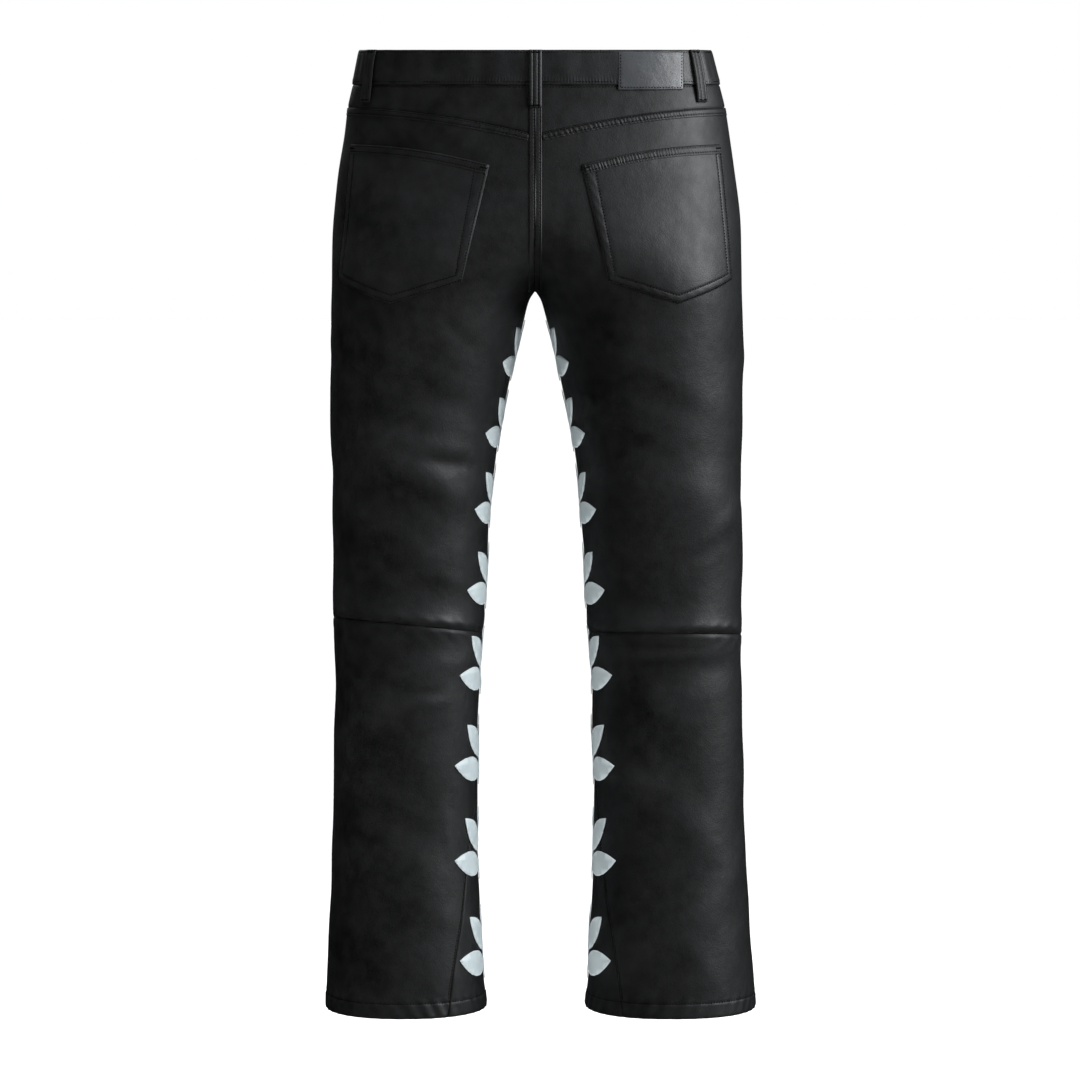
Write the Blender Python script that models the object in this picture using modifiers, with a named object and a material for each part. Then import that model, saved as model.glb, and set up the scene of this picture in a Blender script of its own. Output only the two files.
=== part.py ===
"""Waxed flared trousers, filled out as if worn: a hollow garment of cut and sewn cloth pieces.

The origin is the middle of the waist, half way up the waistband. +Z is up, the front faces -Y and
the wearer's left leg is at +X. Every length is in metres.

Each leg is a stack of rings, one for each height, read from SECTIONS. A point on the cloth is given
by its leg, its height and its angle round the ring: 0 at the outseam, 90 degrees at the back, 180 at
the inseam and -90 at the front. Above the crotch the rings reach past the centre line, and the cloth
stops there at the centre seam, so that the two legs run together into the seat.
"""

from collections import namedtuple
from math import acos, asin, atan2, ceil, cos, exp, pi, radians, sin

import bmesh
import bpy
from mathutils import Vector

LEFT, RIGHT = 1, -1
BACK, FRONT = 1, -1
SIDE_NAMES = {LEFT: "left", RIGHT: "right"}

# Cloth and seams
CLOTH = 0.0015
SEAM = 0.0003
GODET_SEAM = 0.0005
SIDE_SEAM_FORWARD = 0.006
FULLNESS = 2.25  # exponent of the rings: 2 is an ellipse, more is squarer

# Heights
BAND_TOP = 0.019
BAND_BOTTOM = -0.018
YOKE_SIDE = -0.0437
YOKE_CENTRE = -0.0718
YOKE_CURVE = 1.8  # exponent of the yoke seam's drop towards the centre back
FLY_BOTTOM = -0.150
CROTCH = -0.244
CROTCH_BLEND = 0.125
CROTCH_SLOPE = 0.62
KNEE_OUTER = {LEFT: -0.602, RIGHT: -0.621}
KNEE_INNER = -0.619
KNEE_SAG = 0.002
GODET_TOP = -0.742
HEM = -1.035

# Widths round the ring
GODET_HEM = 0.092  # half of the godet's width at the hem
GODET_TIP = 0.12  # how far down its first row the godet's point is cut off

# Closure at the centre front: the left side laps over the right
LAP = 0.008
LAP_LIFT = 0.0027
LAP_FLAT = 0.022
LAP_RISE = 0.060
LAP_STEP = 0.015
UNDERLAP = 0.020

# Waistband and what is on it
BAND_CLOTH = 0.0020
BAND_PROUD = 0.0008
LOOP_WIDTH = 0.014
LOOP_CLOTH = 0.0020
LOOP_BULGE = 0.0026
LOOP_ARCH = 0.6  # exponent of the loop's arch: less is squarer
LOOP_CLEAR = 0.0004
PATCH_CLOTH = 0.0010
PATCH_CLEAR = 0.0005
POCKET_CLEAR = 0.0009
BUTTON_X = 0.006

# Pale leaf sprigs along the inseam
SPRIG_CLOTH = 0.0008
SPRIG_CLEAR = 0.0010
SPRIG_TOP = -0.332
SPRIG_FIRST_STEP = 0.078
SPRIG_STEP_GROWTH = 0.0055
SPRIG_COUNT = 8
SPRIG_FIRST_SIZE = 0.84
SPRIG_SIZE_GROWTH = 0.030
STALK_HALF = 0.0018
STALK_FOOT = -0.011
SPRIG_SLICES = {(1, 0, 0): 0.0165, (0, 1, 0): 0.024}  # directions across it and spacing
SLICE_SNAP = 0.001  # a slice passes through the points of the outline that are nearer than this

Section = namedtuple("Section", "height left_out right_out front back")
SECTIONS = [
    Section(0.019, 0.1911, 0.1911, 0.0880, 0.0860),
    Section(-0.018, 0.1985, 0.2003, 0.0915, 0.0905),
    Section(-0.045, 0.2052, 0.2072, 0.0940, 0.0955),
    Section(-0.080, 0.2102, 0.2124, 0.0960, 0.1035),
    Section(-0.125, 0.2160, 0.2190, 0.0970, 0.1125),
    Section(-0.170, 0.2206, 0.2232, 0.0960, 0.1190),
    Section(-0.210, 0.2225, 0.2256, 0.0930, 0.1200),
    Section(-0.244, 0.2228, 0.2261, 0.0900, 0.1165),
    Section(-0.275, 0.2239, 0.2270, 0.0885, 0.1115),
    Section(-0.320, 0.2241, 0.2272, 0.0880, 0.1050),
    Section(-0.385, 0.2242, 0.2266, 0.0870, 0.0970),
    Section(-0.450, 0.2235, 0.2260, 0.0845, 0.0905),
    Section(-0.520, 0.2228, 0.2270, 0.0810, 0.0840),
    Section(-0.605, 0.2220, 0.2268, 0.0755, 0.0755),
    Section(-0.695, 0.2214, 0.2279, 0.0715, 0.0710),
    Section(-0.785, 0.2228, 0.2296, 0.0710, 0.0710),
    Section(-0.850, 0.2250, 0.2320, 0.0730, 0.0735),
    Section(-0.920, 0.2277, 0.2356, 0.0765, 0.0770),
    Section(-0.985, 0.2302, 0.2402, 0.0815, 0.0820),
    Section(-1.035, 0.2330, 0.2445, 0.0860, 0.0860),
]

# How far the inner thigh and calf stand from the centre line
Gap = namedtuple("Gap", "height inner")
LEG_GAPS = [
    Gap(-0.244, 0.0000),
    Gap(-0.253, 0.0056),
    Gap(-0.275, 0.0120),
    Gap(-0.320, 0.0238),
    Gap(-0.385, 0.0373),
    Gap(-0.450, 0.0466),
    Gap(-0.520, 0.0524),
    Gap(-0.605, 0.0575),
    Gap(-0.695, 0.0624),
    Gap(-0.785, 0.0647),
    Gap(-0.850, 0.0643),
    Gap(-0.920, 0.0620),
    Gap(-0.985, 0.0594),
    Gap(-1.035, 0.0545),
]

# The largest folds: ridges (+) and troughs (-) that lie along the cloth at a slant
Fold = namedtuple("Fold", "side height angle length width depth slant")
FOLDS = [
    Fold(LEFT, -0.350, 95, 0.075, 0.018, -0.0028, -24),
    Fold(LEFT, -0.420, 70, 0.085, 0.030, 0.0032, -18),
    Fold(LEFT, -0.505, 100, 0.070, 0.022, -0.0026, 22),
    Fold(LEFT, -0.590, 85, 0.080, 0.016, 0.0028, -8),
    Fold(LEFT, -0.700, 75, 0.080, 0.026, 0.0030, 28),
    Fold(LEFT, -0.830, 100, 0.075, 0.026, -0.0026, -30),
    Fold(RIGHT, -0.345, 100, 0.070, 0.018, -0.0026, 26),
    Fold(RIGHT, -0.455, 75, 0.090, 0.030, 0.0030, 16),
    Fold(RIGHT, -0.595, 95, 0.070, 0.015, 0.0026, 5),
    Fold(RIGHT, -0.655, 70, 0.085, 0.018, -0.0028, -6),
    Fold(RIGHT, -0.775, 120, 0.060, 0.020, 0.0030, 40),
    Fold(RIGHT, -0.930, 80, 0.090, 0.026, 0.0030, -38),
    Fold(LEFT, -0.300, -110, 0.065, 0.016, -0.0028, 30),
    Fold(LEFT, -0.345, -100, 0.080, 0.020, 0.0026, 24),
    Fold(LEFT, -0.560, -85, 0.080, 0.020, 0.0028, -12),
    Fold(LEFT, -0.640, -95, 0.075, 0.018, -0.0028, 10),
    Fold(LEFT, -0.860, -90, 0.080, 0.026, 0.0028, -26),
    Fold(RIGHT, -0.305, -112, 0.065, 0.016, -0.0026, 28),
    Fold(RIGHT, -0.360, -98, 0.080, 0.020, 0.0028, 20),
    Fold(RIGHT, -0.575, -90, 0.080, 0.018, 0.0028, -10),
    Fold(RIGHT, -0.650, -85, 0.075, 0.020, -0.0026, 14),
    Fold(RIGHT, -0.880, -95, 0.080, 0.026, 0.0028, -22),
]

# Back pocket corners as seen from behind: distance from the centre line and height
Corner = namedtuple("Corner", "across height")
POCKET_INNER_TOP = Corner(0.0490, -0.1035)
POCKET_OUTER_TOP = Corner(0.1990, -0.0860)
POCKET_INNER_BOTTOM = Corner(0.0785, -0.2270)
POCKET_OUTER_BOTTOM = Corner(0.2110, -0.2280)
POCKET_POINT_HEIGHT = -0.2515
POCKET_TOP_CROWN = 0.0045
POCKET_COLUMNS, POCKET_POINT_COLUMN, POCKET_ROWS = 9, 4, 7

# Patch sewn over the waistband, on the right of the back
PATCH_INNER_TOP = Corner(0.0884, 0.0166)
PATCH_OUTER_BOTTOM = Corner(0.1585, -0.0240)

# Belt loops: name, side, angle round the waist and height of the lower end
Loop = namedtuple("Loop", "name side angle foot")
BELT_LOOPS = [
    Loop("loop_centre_back", LEFT, 90, -0.0430),
    Loop("loop_back_left", LEFT, 27.5, -0.0375),
    Loop("loop_back_right", RIGHT, 31, -0.0375),
    Loop("loop_front_left", LEFT, -58, -0.0375),
    Loop("loop_front_right", RIGHT, -58, -0.0375),
]

# Leaves of a sprig: height of the root on the stalk, degrees turned from upright, length and width
Leaf = namedtuple("Leaf", "root turn length width")
SIDE_LEAVES = [
    Leaf(0.004, 78, 0.066, 0.027),
    Leaf(0.020, 48, 0.062, 0.024),
]
TOP_LEAF = Leaf(0.034, 0, 0.034, 0.014)
LEAF_SHARES = (0.28, 0.68)  # where the outline has points between a leaf's root and its tip

# The waist button's profile, from the middle of its top down the outer side to the neck's foot
Turned = namedtuple("Turned", "radius height")
BUTTON_PROFILE = [
    Turned(0.0, 0.0027),
    Turned(0.0040, 0.0025),
    Turned(0.0062, 0.0024),
    Turned(0.0068, 0.0032),
    Turned(0.0078, 0.0033),
    Turned(0.0085, 0.0026),
    Turned(0.0085, 0.0018),
    Turned(0.0076, 0.0010),
    Turned(0.0045, 0.0010),
    Turned(0.0045, 0.0),
    Turned(0.0, 0.0),
]
BUTTON_STEPS = 16

# Faces across and along the pieces
COLUMNS = 14
GODET_COLUMNS = 6
BAND_COLUMNS, BAND_ROWS = 64, 2
YOKE_ROWS = 2
LOOP_COLUMNS, LOOP_ROWS = 2, 8
PATCH_COLUMNS, PATCH_ROWS = 6, 3
ROWS_HEM_TO_GODET = 9
ROWS_GODET_TO_KNEE = 4
ROWS_KNEE_TO_CROTCH = 10
ROWS_GODET_TO_CROTCH = 14
ROWS_CROTCH_TO_YOKE = 12
ROWS_CROTCH_TO_FLY = 8
ROWS_FLY_TO_BAND = 4
CROTCH_EASE = 1.8
EDGE_EASE = 0.6
TURN_STEP = 0.01
HEIGHT_STEP = 0.001
ROUNDING = 1e-5

MATERIALS = {
    "waxed_cloth": ((0.016, 0.017, 0.018, 1), 0.42, 0.0),
    "pale_leather": ((0.60, 0.70, 0.73, 1), 0.55, 0.0),
    "patch_leather": ((0.030, 0.032, 0.034, 1), 0.30, 0.0),
    "button_metal": ((0.10, 0.10, 0.11, 1), 0.35, 1.0),
}


def clear_scene():
    for obj in list(bpy.data.objects):
        bpy.data.objects.remove(obj, do_unlink=True)


def make_material(name):
    colour, roughness, metallic = MATERIALS[name]
    material = bpy.data.materials.new(name)
    material.use_nodes = True
    shader = material.node_tree.nodes["Principled BSDF"]
    shader.inputs["Base Color"].default_value = colour
    shader.inputs["Roughness"].default_value = roughness
    shader.inputs["Metallic"].default_value = metallic
    return material


def read(table, column, height):
    """A column of a table at a height, by a smooth cubic between the rows on either side."""
    rows = [(row.height, getattr(row, column)) for row in table]
    if height >= rows[0][0]:
        return rows[0][1]
    if height <= rows[-1][0]:
        return rows[-1][1]
    low = next(i for i in range(1, len(rows)) if rows[i][0] <= height)

    def slope(i):
        before, after = rows[max(i - 1, 0)], rows[min(i + 1, len(rows) - 1)]
        return (after[1] - before[1]) / (after[0] - before[0])

    (z0, a), (z1, b) = rows[low - 1], rows[low]
    span = z1 - z0
    t = (height - z0) / span
    return (
        a * (2 * t**3 - 3 * t**2 + 1)
        + slope(low - 1) * span * (t**3 - 2 * t**2 + t)
        + b * (3 * t**2 - 2 * t**3)
        + slope(low) * span * (t**3 - t**2)
    )


def smooth_step(t):
    t = min(max(t, 0.0), 1.0)
    return t * t * (3 - 2 * t)


def signed_power(value, exponent):
    return abs(value) ** exponent * (1 if value >= 0 else -1)


def ring(side, height):
    """Centre, half width, front depth and back depth of a leg's ring. Above the crotch it grows
    past the centre line until both legs share one ring round the trunk."""
    outer = read(SECTIONS, "left_out" if side == LEFT else "right_out", height)
    above = height - CROTCH
    if above <= 0:
        inner = read(LEG_GAPS, "inner", height)
    elif above < CROTCH_BLEND:
        t = above / CROTCH_BLEND
        inner = -outer * (3 * t**2 - 2 * t**3)
        inner -= CROTCH_SLOPE * CROTCH_BLEND * t * (1 - t) ** 2
    else:
        inner = -outer
    front = read(SECTIONS, "front", height)
    back = read(SECTIONS, "back", height)
    return (outer + inner) / 2, (outer - inner) / 2, front, back


def on_ring(side, height, angle):
    centre, half, front, back = ring(side, height)
    depth = back if sin(angle) >= 0 else front
    x = centre + half * signed_power(cos(angle), 2 / FULLNESS)
    y = depth * signed_power(sin(angle), 2 / FULLNESS)
    return Vector((side * x, y, height))


def outward(side, height, angle):
    """The direction straight out of the ring's surface."""
    ahead = on_ring(side, height, angle + TURN_STEP)
    round_ring = ahead - on_ring(side, height, angle - TURN_STEP)
    up = on_ring(side, height + HEIGHT_STEP, angle) - on_ring(side, height - HEIGHT_STEP, angle)
    return (side * round_ring.cross(up)).normalized()


def fold_height(side, height, angle):
    """How far the folds raise the cloth here."""
    _, half, front, back = ring(side, height)
    radius = (half + (back if angle > 0 else front)) / 2
    total = 0.0
    for fold in FOLDS:
        if fold.side != side:
            continue
        round_ring = (angle - radians(fold.angle)) * radius
        up = height - fold.height
        slant = radians(fold.slant)
        along = round_ring * cos(slant) + up * sin(slant)
        across = up * cos(slant) - round_ring * sin(slant)
        total += fold.depth * exp(-((along / fold.length) ** 2) - (across / fold.width) ** 2)
    return total


def lap_lift(side, height, x):
    """The left side is raised near the centre front, to lie on the right side."""
    if side != LEFT:
        return 0.0
    near = smooth_step((LAP_RISE - x) / (LAP_RISE - LAP_FLAT))
    return LAP_LIFT * near * smooth_step((height - FLY_BOTTOM) / LAP_STEP)


def on_cloth(side, height, angle, lift=0.0):
    """A point of the cloth's outer face, or one lifted off it."""
    point = on_ring(side, height, angle)
    raised = lift + fold_height(side, height, angle)
    if angle < 0 and height > FLY_BOTTOM:
        raised += lap_lift(side, height, side * point.x)
    return point + outward(side, height, angle) * raised


def angle_at_x(side, height, x, half_of_body):
    """The angle where the ring is this far from the centre line, on the back or the front."""
    centre, half, _, _ = ring(side, height)
    ratio = min(max((x - centre) / half, -1.0), 1.0)
    return half_of_body * acos(signed_power(ratio, FULLNESS / 2))


def outseam(side, height, half_of_body):
    """The angle of a panel's edge at the outseam, which lies a little forward of the side."""
    front = ring(side, height)[2]
    y = SIDE_SEAM_FORWARD - half_of_body * SEAM / 2
    return -asin((y / front) ** (FULLNESS / 2))


def godet_turn(side, height):
    """Half of the godet's width at a height, as an angle round the ring."""
    _, half, front, back = ring(side, height)
    width = GODET_HEM * (GODET_TOP - height) / (GODET_TOP - HEM)
    return max(width, 0.0) / ((half + (front + back) / 2) / 2)


def seam_turn(side, height):
    """Half of the gap beside the godet, as an angle."""
    _, half, front, back = ring(side, height)
    return GODET_SEAM / 2 / ((half + (front + back) / 2) / 2)


def inner_edge(side, height, half_of_body):
    """The angle of a panel's inner edge: the centre seam, then the inseam, then the godet."""
    centre, half, front, back = ring(side, height)
    if half > centre:
        return angle_at_x(side, height, 0.0, half_of_body)
    depth = back if half_of_body == BACK else front
    beside = asin((SEAM / 2 / depth) ** (FULLNESS / 2))
    if height < GODET_TOP:
        beside = godet_turn(side, height) + seam_turn(side, height)
    return half_of_body * (pi - beside)


def keep_to_side(side, point):
    """Holds a panel half a seam's gap off the centre line."""
    if side * point.x < SEAM / 2:
        point.x = side * SEAM / 2
    return point


def eased(u):
    """Columns closer together at a panel's two edges."""
    return u - EDGE_EASE * sin(2 * pi * u) / (2 * pi)


def climb(v, start, stretches):
    """The height of row v, from 0 to 1. A stretch is its rows, the height it ends at and an ease."""
    row = v * sum(rows for rows, _, _ in stretches)
    for rows, end, ease in stretches:
        if row <= rows + ROUNDING:
            return start + (end - start) * (row / rows) ** ease
        row -= rows
        start = end
    return start


def yoke_seam(angle):
    """The height of the yoke seam, which drops towards the centre back."""
    reach = abs(cos(angle)) ** (2 / FULLNESS)
    return YOKE_SIDE + (YOKE_CENTRE - YOKE_SIDE) * (1 - reach) ** YOKE_CURVE


def knee_seam(side, u):
    """The height of the knee seam, from the outseam (0) to the inseam (1)."""
    return KNEE_OUTER[side] + (KNEE_INNER - KNEE_OUTER[side]) * u - KNEE_SAG * sin(pi * u)


def add_object(name, mesh, material):
    obj = bpy.data.objects.new(name, mesh)
    mesh.materials.append(material)
    bpy.data.collections["waxed_trousers"].objects.link(obj)
    return obj


def cloth_piece(name, bm, material, thickness=CLOTH):
    """Makes an object of an open surface and thickens it inwards, from its outer face."""
    mesh = bpy.data.meshes.new(name)
    bm.to_mesh(mesh)
    bm.free()
    mesh.shade_smooth()
    obj = add_object(name, mesh, material)
    wall = obj.modifiers.new("Wall", "SOLIDIFY")
    wall.thickness = thickness
    wall.offset = -1
    return obj


def grid_piece(name, columns, rows, place, flip, material, thickness=CLOTH):
    """A grid whose points are moved to place(u, v), with u round the body and v upwards."""
    bm = bmesh.new()
    bmesh.ops.create_grid(bm, x_segments=columns, y_segments=rows, size=0.5)
    for vert in bm.verts:
        vert.co = place(vert.co.x + 0.5, vert.co.y + 0.5)
    if flip:
        bmesh.ops.reverse_faces(bm, faces=bm.faces)
    return cloth_piece(name, bm, material, thickness)


def panel(name, side, half_of_body, start, stretches, material):
    """A leg or seat panel. start and the stretches' ends are functions of u."""

    def place(u, v):
        ends = [(rows, end(u), ease) for rows, end, ease in stretches]
        height = climb(v, start(u), ends)
        outer = outseam(side, height, half_of_body)
        inner = inner_edge(side, height, half_of_body)
        angle = outer + (inner - outer) * eased(u)
        return keep_to_side(side, on_cloth(side, height, angle))

    rows = sum(rows for rows, _, _ in stretches)
    flip = side * half_of_body < 0
    return grid_piece(name, COLUMNS, rows, place, flip, material)


def make_yoke(side, material):
    def place(u, v):
        outer = outseam(side, YOKE_SIDE, BACK)
        angle = outer + (inner_edge(side, YOKE_SIDE, BACK) - outer) * eased(u)
        low = yoke_seam(angle) + SEAM / 2
        height = low + (BAND_BOTTOM - SEAM / 2 - low) * v
        return keep_to_side(side, on_cloth(side, height, angle))

    name = f"yoke_{SIDE_NAMES[side]}"
    return grid_piece(name, COLUMNS, YOKE_ROWS, place, side < 0, material)


def make_back_upper(side, material):
    def seat_top(u):
        outer = outseam(side, YOKE_SIDE, BACK)
        angle = outer + (inner_edge(side, YOKE_SIDE, BACK) - outer) * eased(u)
        return yoke_seam(angle) - SEAM / 2

    stretches = [
        (ROWS_KNEE_TO_CROTCH, lambda u: CROTCH, 1.0),
        (ROWS_CROTCH_TO_YOKE, seat_top, CROTCH_EASE),
    ]
    name = f"back_upper_{SIDE_NAMES[side]}"
    return panel(name, side, BACK, lambda u: knee_seam(side, u) + SEAM / 2, stretches, material)


def make_back_lower(side, material):
    stretches = [
        (ROWS_HEM_TO_GODET, lambda u: GODET_TOP, 1.0),
        (ROWS_GODET_TO_KNEE, lambda u: knee_seam(side, u) - SEAM / 2, 1.0),
    ]
    name = f"back_lower_{SIDE_NAMES[side]}"
    return panel(name, side, BACK, lambda u: HEM, stretches, material)


def make_front(side, material):
    """A front from waistband to hem. The left one laps over the right down to the fly's end."""
    stretches = [
        (ROWS_HEM_TO_GODET, lambda u: GODET_TOP, 1.0),
        (ROWS_GODET_TO_CROTCH, lambda u: CROTCH, 1.0),
        (ROWS_CROTCH_TO_FLY, lambda u: FLY_BOTTOM, CROTCH_EASE),
        (1, lambda u: FLY_BOTTOM + LAP_STEP, 1.0),
        (1, lambda u: FLY_BOTTOM + 2 * LAP_STEP, 1.0),
        (ROWS_FLY_TO_BAND, lambda u: BAND_BOTTOM - SEAM / 2, 1.0),
    ]
    name = f"front_{SIDE_NAMES[side]}"
    front = panel(name, side, FRONT, lambda u: HEM, stretches, material)
    if side == LEFT:
        for vert in front.data.vertices:
            past = smooth_step((vert.co.z - FLY_BOTTOM - LAP_STEP) / LAP_STEP)
            if vert.co.y < 0 and vert.co.x <= SEAM / 2 + ROUNDING:
                vert.co.x -= (LAP + SEAM / 2) * past
    return front


def make_godet(side, material):
    """The flare's wedge, which wraps round the inseam from its point down to the hem."""
    step = (GODET_TOP - HEM) / ROWS_HEM_TO_GODET

    def place(u, v):
        height = HEM + (GODET_TOP - HEM) * v
        turn = godet_turn(side, height)
        if v > 1 - 0.5 / ROWS_HEM_TO_GODET:
            height = GODET_TOP - GODET_TIP * step
            turn = GODET_TIP * godet_turn(side, GODET_TOP - step)
        turn -= seam_turn(side, height)
        angle = pi + (1 - 2 * u) * turn
        if angle > pi:
            angle -= 2 * pi
        return on_cloth(side, height, angle)

    name = f"godet_{SIDE_NAMES[side]}"
    return grid_piece(name, GODET_COLUMNS, ROWS_HEM_TO_GODET, place, side > 0, material)


def on_trunk(turn, height, lift):
    """A point round the waist, by the angle from the left side (0) over the back (90)."""
    if turn < pi / 2:
        return on_cloth(LEFT, height, turn, lift)
    return on_cloth(RIGHT, height, pi - turn, lift)


def make_waistband(material):
    """One strip round the waist. Its left end laps over its right end at the centre front."""
    half = ring(LEFT, 0.0)[1]
    start = -pi / 2 - asin((LAP / half) ** (FULLNESS / 2))
    end = 1.5 * pi + asin((UNDERLAP / half) ** (FULLNESS / 2))

    def place(u, v):
        turn = start + (end - start) * u
        height = BAND_BOTTOM + SEAM / 2 + (BAND_TOP - BAND_BOTTOM - SEAM / 2) * v
        return on_trunk(turn, height, BAND_PROUD)

    return grid_piece("waistband", BAND_COLUMNS, BAND_ROWS, place, False, material, BAND_CLOTH)


def make_belt_loop(loop, material):
    """A strip that arches over the waistband, fastened at its two ends."""
    angle = radians(loop.angle)
    ahead = on_ring(loop.side, 0.0, angle + TURN_STEP)
    along = loop.side * (ahead - on_ring(loop.side, 0.0, angle - TURN_STEP)).normalized()

    def place(u, v):
        height = loop.foot + (BAND_TOP - loop.foot) * v
        rest = LOOP_CLEAR + BAND_PROUD * v
        lift = rest + LOOP_BULGE * max(sin(pi * v), 0.0) ** LOOP_ARCH + LOOP_CLOTH
        point = on_cloth(loop.side, height, angle, lift)
        return point + along * (u - 0.5) * LOOP_WIDTH

    return grid_piece(loop.name, LOOP_COLUMNS, LOOP_ROWS, place, False, material, LOOP_CLOTH)


def across_at(top, bottom, height):
    """Distance from the centre line of a pocket's side edge, which is straight seen from behind."""
    share = (height - top.height) / (bottom.height - top.height)
    return top.across + (bottom.across - top.across) * share


def make_pocket(side, material):
    """A patch pocket with straight sides, a crowned top edge and a pointed foot."""
    point_at = POCKET_POINT_COLUMN / POCKET_COLUMNS

    def place(u, v):
        t = 1 - u
        high = POCKET_INNER_TOP.height + (POCKET_OUTER_TOP.height - POCKET_INNER_TOP.height) * t
        high += POCKET_TOP_CROWN * sin(pi * t)
        start = POCKET_INNER_BOTTOM if t <= point_at else POCKET_OUTER_BOTTOM
        share = t / point_at if t <= point_at else (1 - t) / (1 - point_at)
        low = start.height + (POCKET_POINT_HEIGHT - start.height) * share
        height = low + (high - low) * v
        inner_x = across_at(POCKET_INNER_TOP, POCKET_INNER_BOTTOM, height)
        outer_x = across_at(POCKET_OUTER_TOP, POCKET_OUTER_BOTTOM, height)
        inner = angle_at_x(side, height, inner_x, BACK)
        outer = angle_at_x(side, height, outer_x, BACK)
        return on_cloth(side, height, inner + (outer - inner) * t, POCKET_CLEAR + CLOTH)

    name = f"pocket_back_{SIDE_NAMES[side]}"
    return grid_piece(name, POCKET_COLUMNS, POCKET_ROWS, place, side < 0, material)


def make_patch(material):
    inner, outer = PATCH_INNER_TOP, PATCH_OUTER_BOTTOM

    def place(u, v):
        across = inner.across + (outer.across - inner.across) * u
        height = outer.height + (inner.height - outer.height) * v
        angle = angle_at_x(RIGHT, height, across, BACK)
        return on_cloth(RIGHT, height, angle, BAND_PROUD + PATCH_CLEAR + PATCH_CLOTH)

    return grid_piece("patch", PATCH_COLUMNS, PATCH_ROWS, place, False, material, PATCH_CLOTH)


def make_button(material):
    """The waist button: a turned head with a raised rim, on a short neck."""
    bm = bmesh.new()
    verts = [bm.verts.new((turned.radius, 0, turned.height)) for turned in BUTTON_PROFILE]
    for a, b in zip(verts, verts[1:]):
        bm.edges.new((a, b))
    mesh = bpy.data.meshes.new("button")
    bm.to_mesh(mesh)
    bm.free()
    button = add_object("button", mesh, material)
    screw = button.modifiers.new("Turned", "SCREW")
    screw.steps = screw.render_steps = BUTTON_STEPS
    screw.use_merge_vertices = True
    screw.merge_threshold = ROUNDING
    angle = angle_at_x(LEFT, 0.0, BUTTON_X, FRONT)
    button.location = on_cloth(LEFT, 0.0, angle, BAND_PROUD + SEAM)
    button.rotation_mode = "QUATERNION"
    button.rotation_quaternion = outward(LEFT, 0.0, angle).to_track_quat("Z", "Y")
    return button


def leaf_edge(leaf, shares, edge):
    """Points along a leaf's lower edge (1) or upper edge (-1), which bows out half way along."""
    turn = radians(leaf.turn)
    along = Vector((sin(turn), cos(turn), 0)) * leaf.length
    across = Vector((cos(turn), -sin(turn), 0)) * leaf.width * edge
    root = Vector((0, leaf.root, 0))
    return [root + along * share + across * 2 * share * (1 - share) for share in shares]


def sprig_outline():
    """The outline from the stalk's foot up the right side, and down the left side again."""
    half = [Vector((STALK_HALF, STALK_FOOT, 0))]
    for leaf in SIDE_LEAVES:
        half.append(Vector((STALK_HALF, leaf.root - STALK_HALF, 0)))
        half += leaf_edge(leaf, LEAF_SHARES + (1.0,), 1)
        half += leaf_edge(leaf, LEAF_SHARES[::-1], -1)
        half.append(Vector((STALK_HALF, leaf.root + STALK_HALF, 0)))
    half.append(Vector((STALK_HALF, TOP_LEAF.root, 0)))
    half += leaf_edge(TOP_LEAF, LEAF_SHARES, 1)
    tip = Vector((0, TOP_LEAF.root + TOP_LEAF.length, 0))
    return half + [tip] + [Vector((-point.x, point.y, 0)) for point in reversed(half)]


def make_sprig(side, number, material):
    """A flat outline of leaves, sliced so that it can bend, then laid round the inseam."""
    size = SPRIG_FIRST_SIZE + SPRIG_SIZE_GROWTH * number
    steps = SPRIG_FIRST_STEP * number + SPRIG_STEP_GROWTH * number * (number - 1) / 2
    base = SPRIG_TOP - steps
    outline = sprig_outline()
    bm = bmesh.new()
    bmesh.ops.create_circle(bm, cap_ends=True, segments=len(outline), radius=1)
    for vert, point in zip(sorted(bm.verts, key=lambda v: atan2(v.co.y, v.co.x)), outline):
        vert.co = point * size
    for direction, spacing in SPRIG_SLICES.items():
        slices = ceil(max(abs(vert.co.dot(Vector(direction))) for vert in bm.verts) / spacing)
        for i in range(-slices, slices + 1):
            geometry = bm.verts[:] + bm.edges[:] + bm.faces[:]
            middle = Vector(direction) * i * spacing
            bmesh.ops.bisect_plane(
                bm, geom=geometry, dist=SLICE_SNAP, plane_co=middle, plane_no=direction
            )
    bmesh.ops.triangulate(bm, faces=bm.faces)
    _, half, front, back = ring(side, base)
    radius = (half + (front + back) / 2) / 2
    for vert in bm.verts:
        angle = pi - vert.co.x / radius
        if angle > pi:
            angle -= 2 * pi
        vert.co = on_cloth(side, base + vert.co.y, angle, SPRIG_CLEAR + SPRIG_CLOTH)
    if side > 0:
        bmesh.ops.reverse_faces(bm, faces=bm.faces)
    name = f"sprig_{SIDE_NAMES[side]}_{number + 1}"
    return cloth_piece(name, bm, material, SPRIG_CLOTH)


def build():
    clear_scene()
    collection = bpy.data.collections.new("waxed_trousers")
    bpy.context.scene.collection.children.link(collection)
    materials = {name: make_material(name) for name in MATERIALS}
    cloth = materials["waxed_cloth"]
    for side in (LEFT, RIGHT):
        make_front(side, cloth)
        make_back_upper(side, cloth)
        make_back_lower(side, cloth)
        make_yoke(side, cloth)
        make_godet(side, cloth)
        make_pocket(side, cloth)
        for number in range(SPRIG_COUNT):
            make_sprig(side, number, materials["pale_leather"])
    make_waistband(cloth)
    for loop in BELT_LOOPS:
        make_belt_loop(loop, cloth)
    make_patch(materials["patch_leather"])
    make_button(materials["button_metal"])


build()
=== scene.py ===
"""Black waxed flared trousers, filled out as if worn and seen from behind.

Every length is in metres. +Z is up, the front faces -Y and the wearer's left leg is at +X. A point
of the cloth is given by its leg, its height and its angle round the leg: 0 at the outseam, 90
degrees at the back, 180 at the inseam and -90 at the front.
"""

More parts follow.
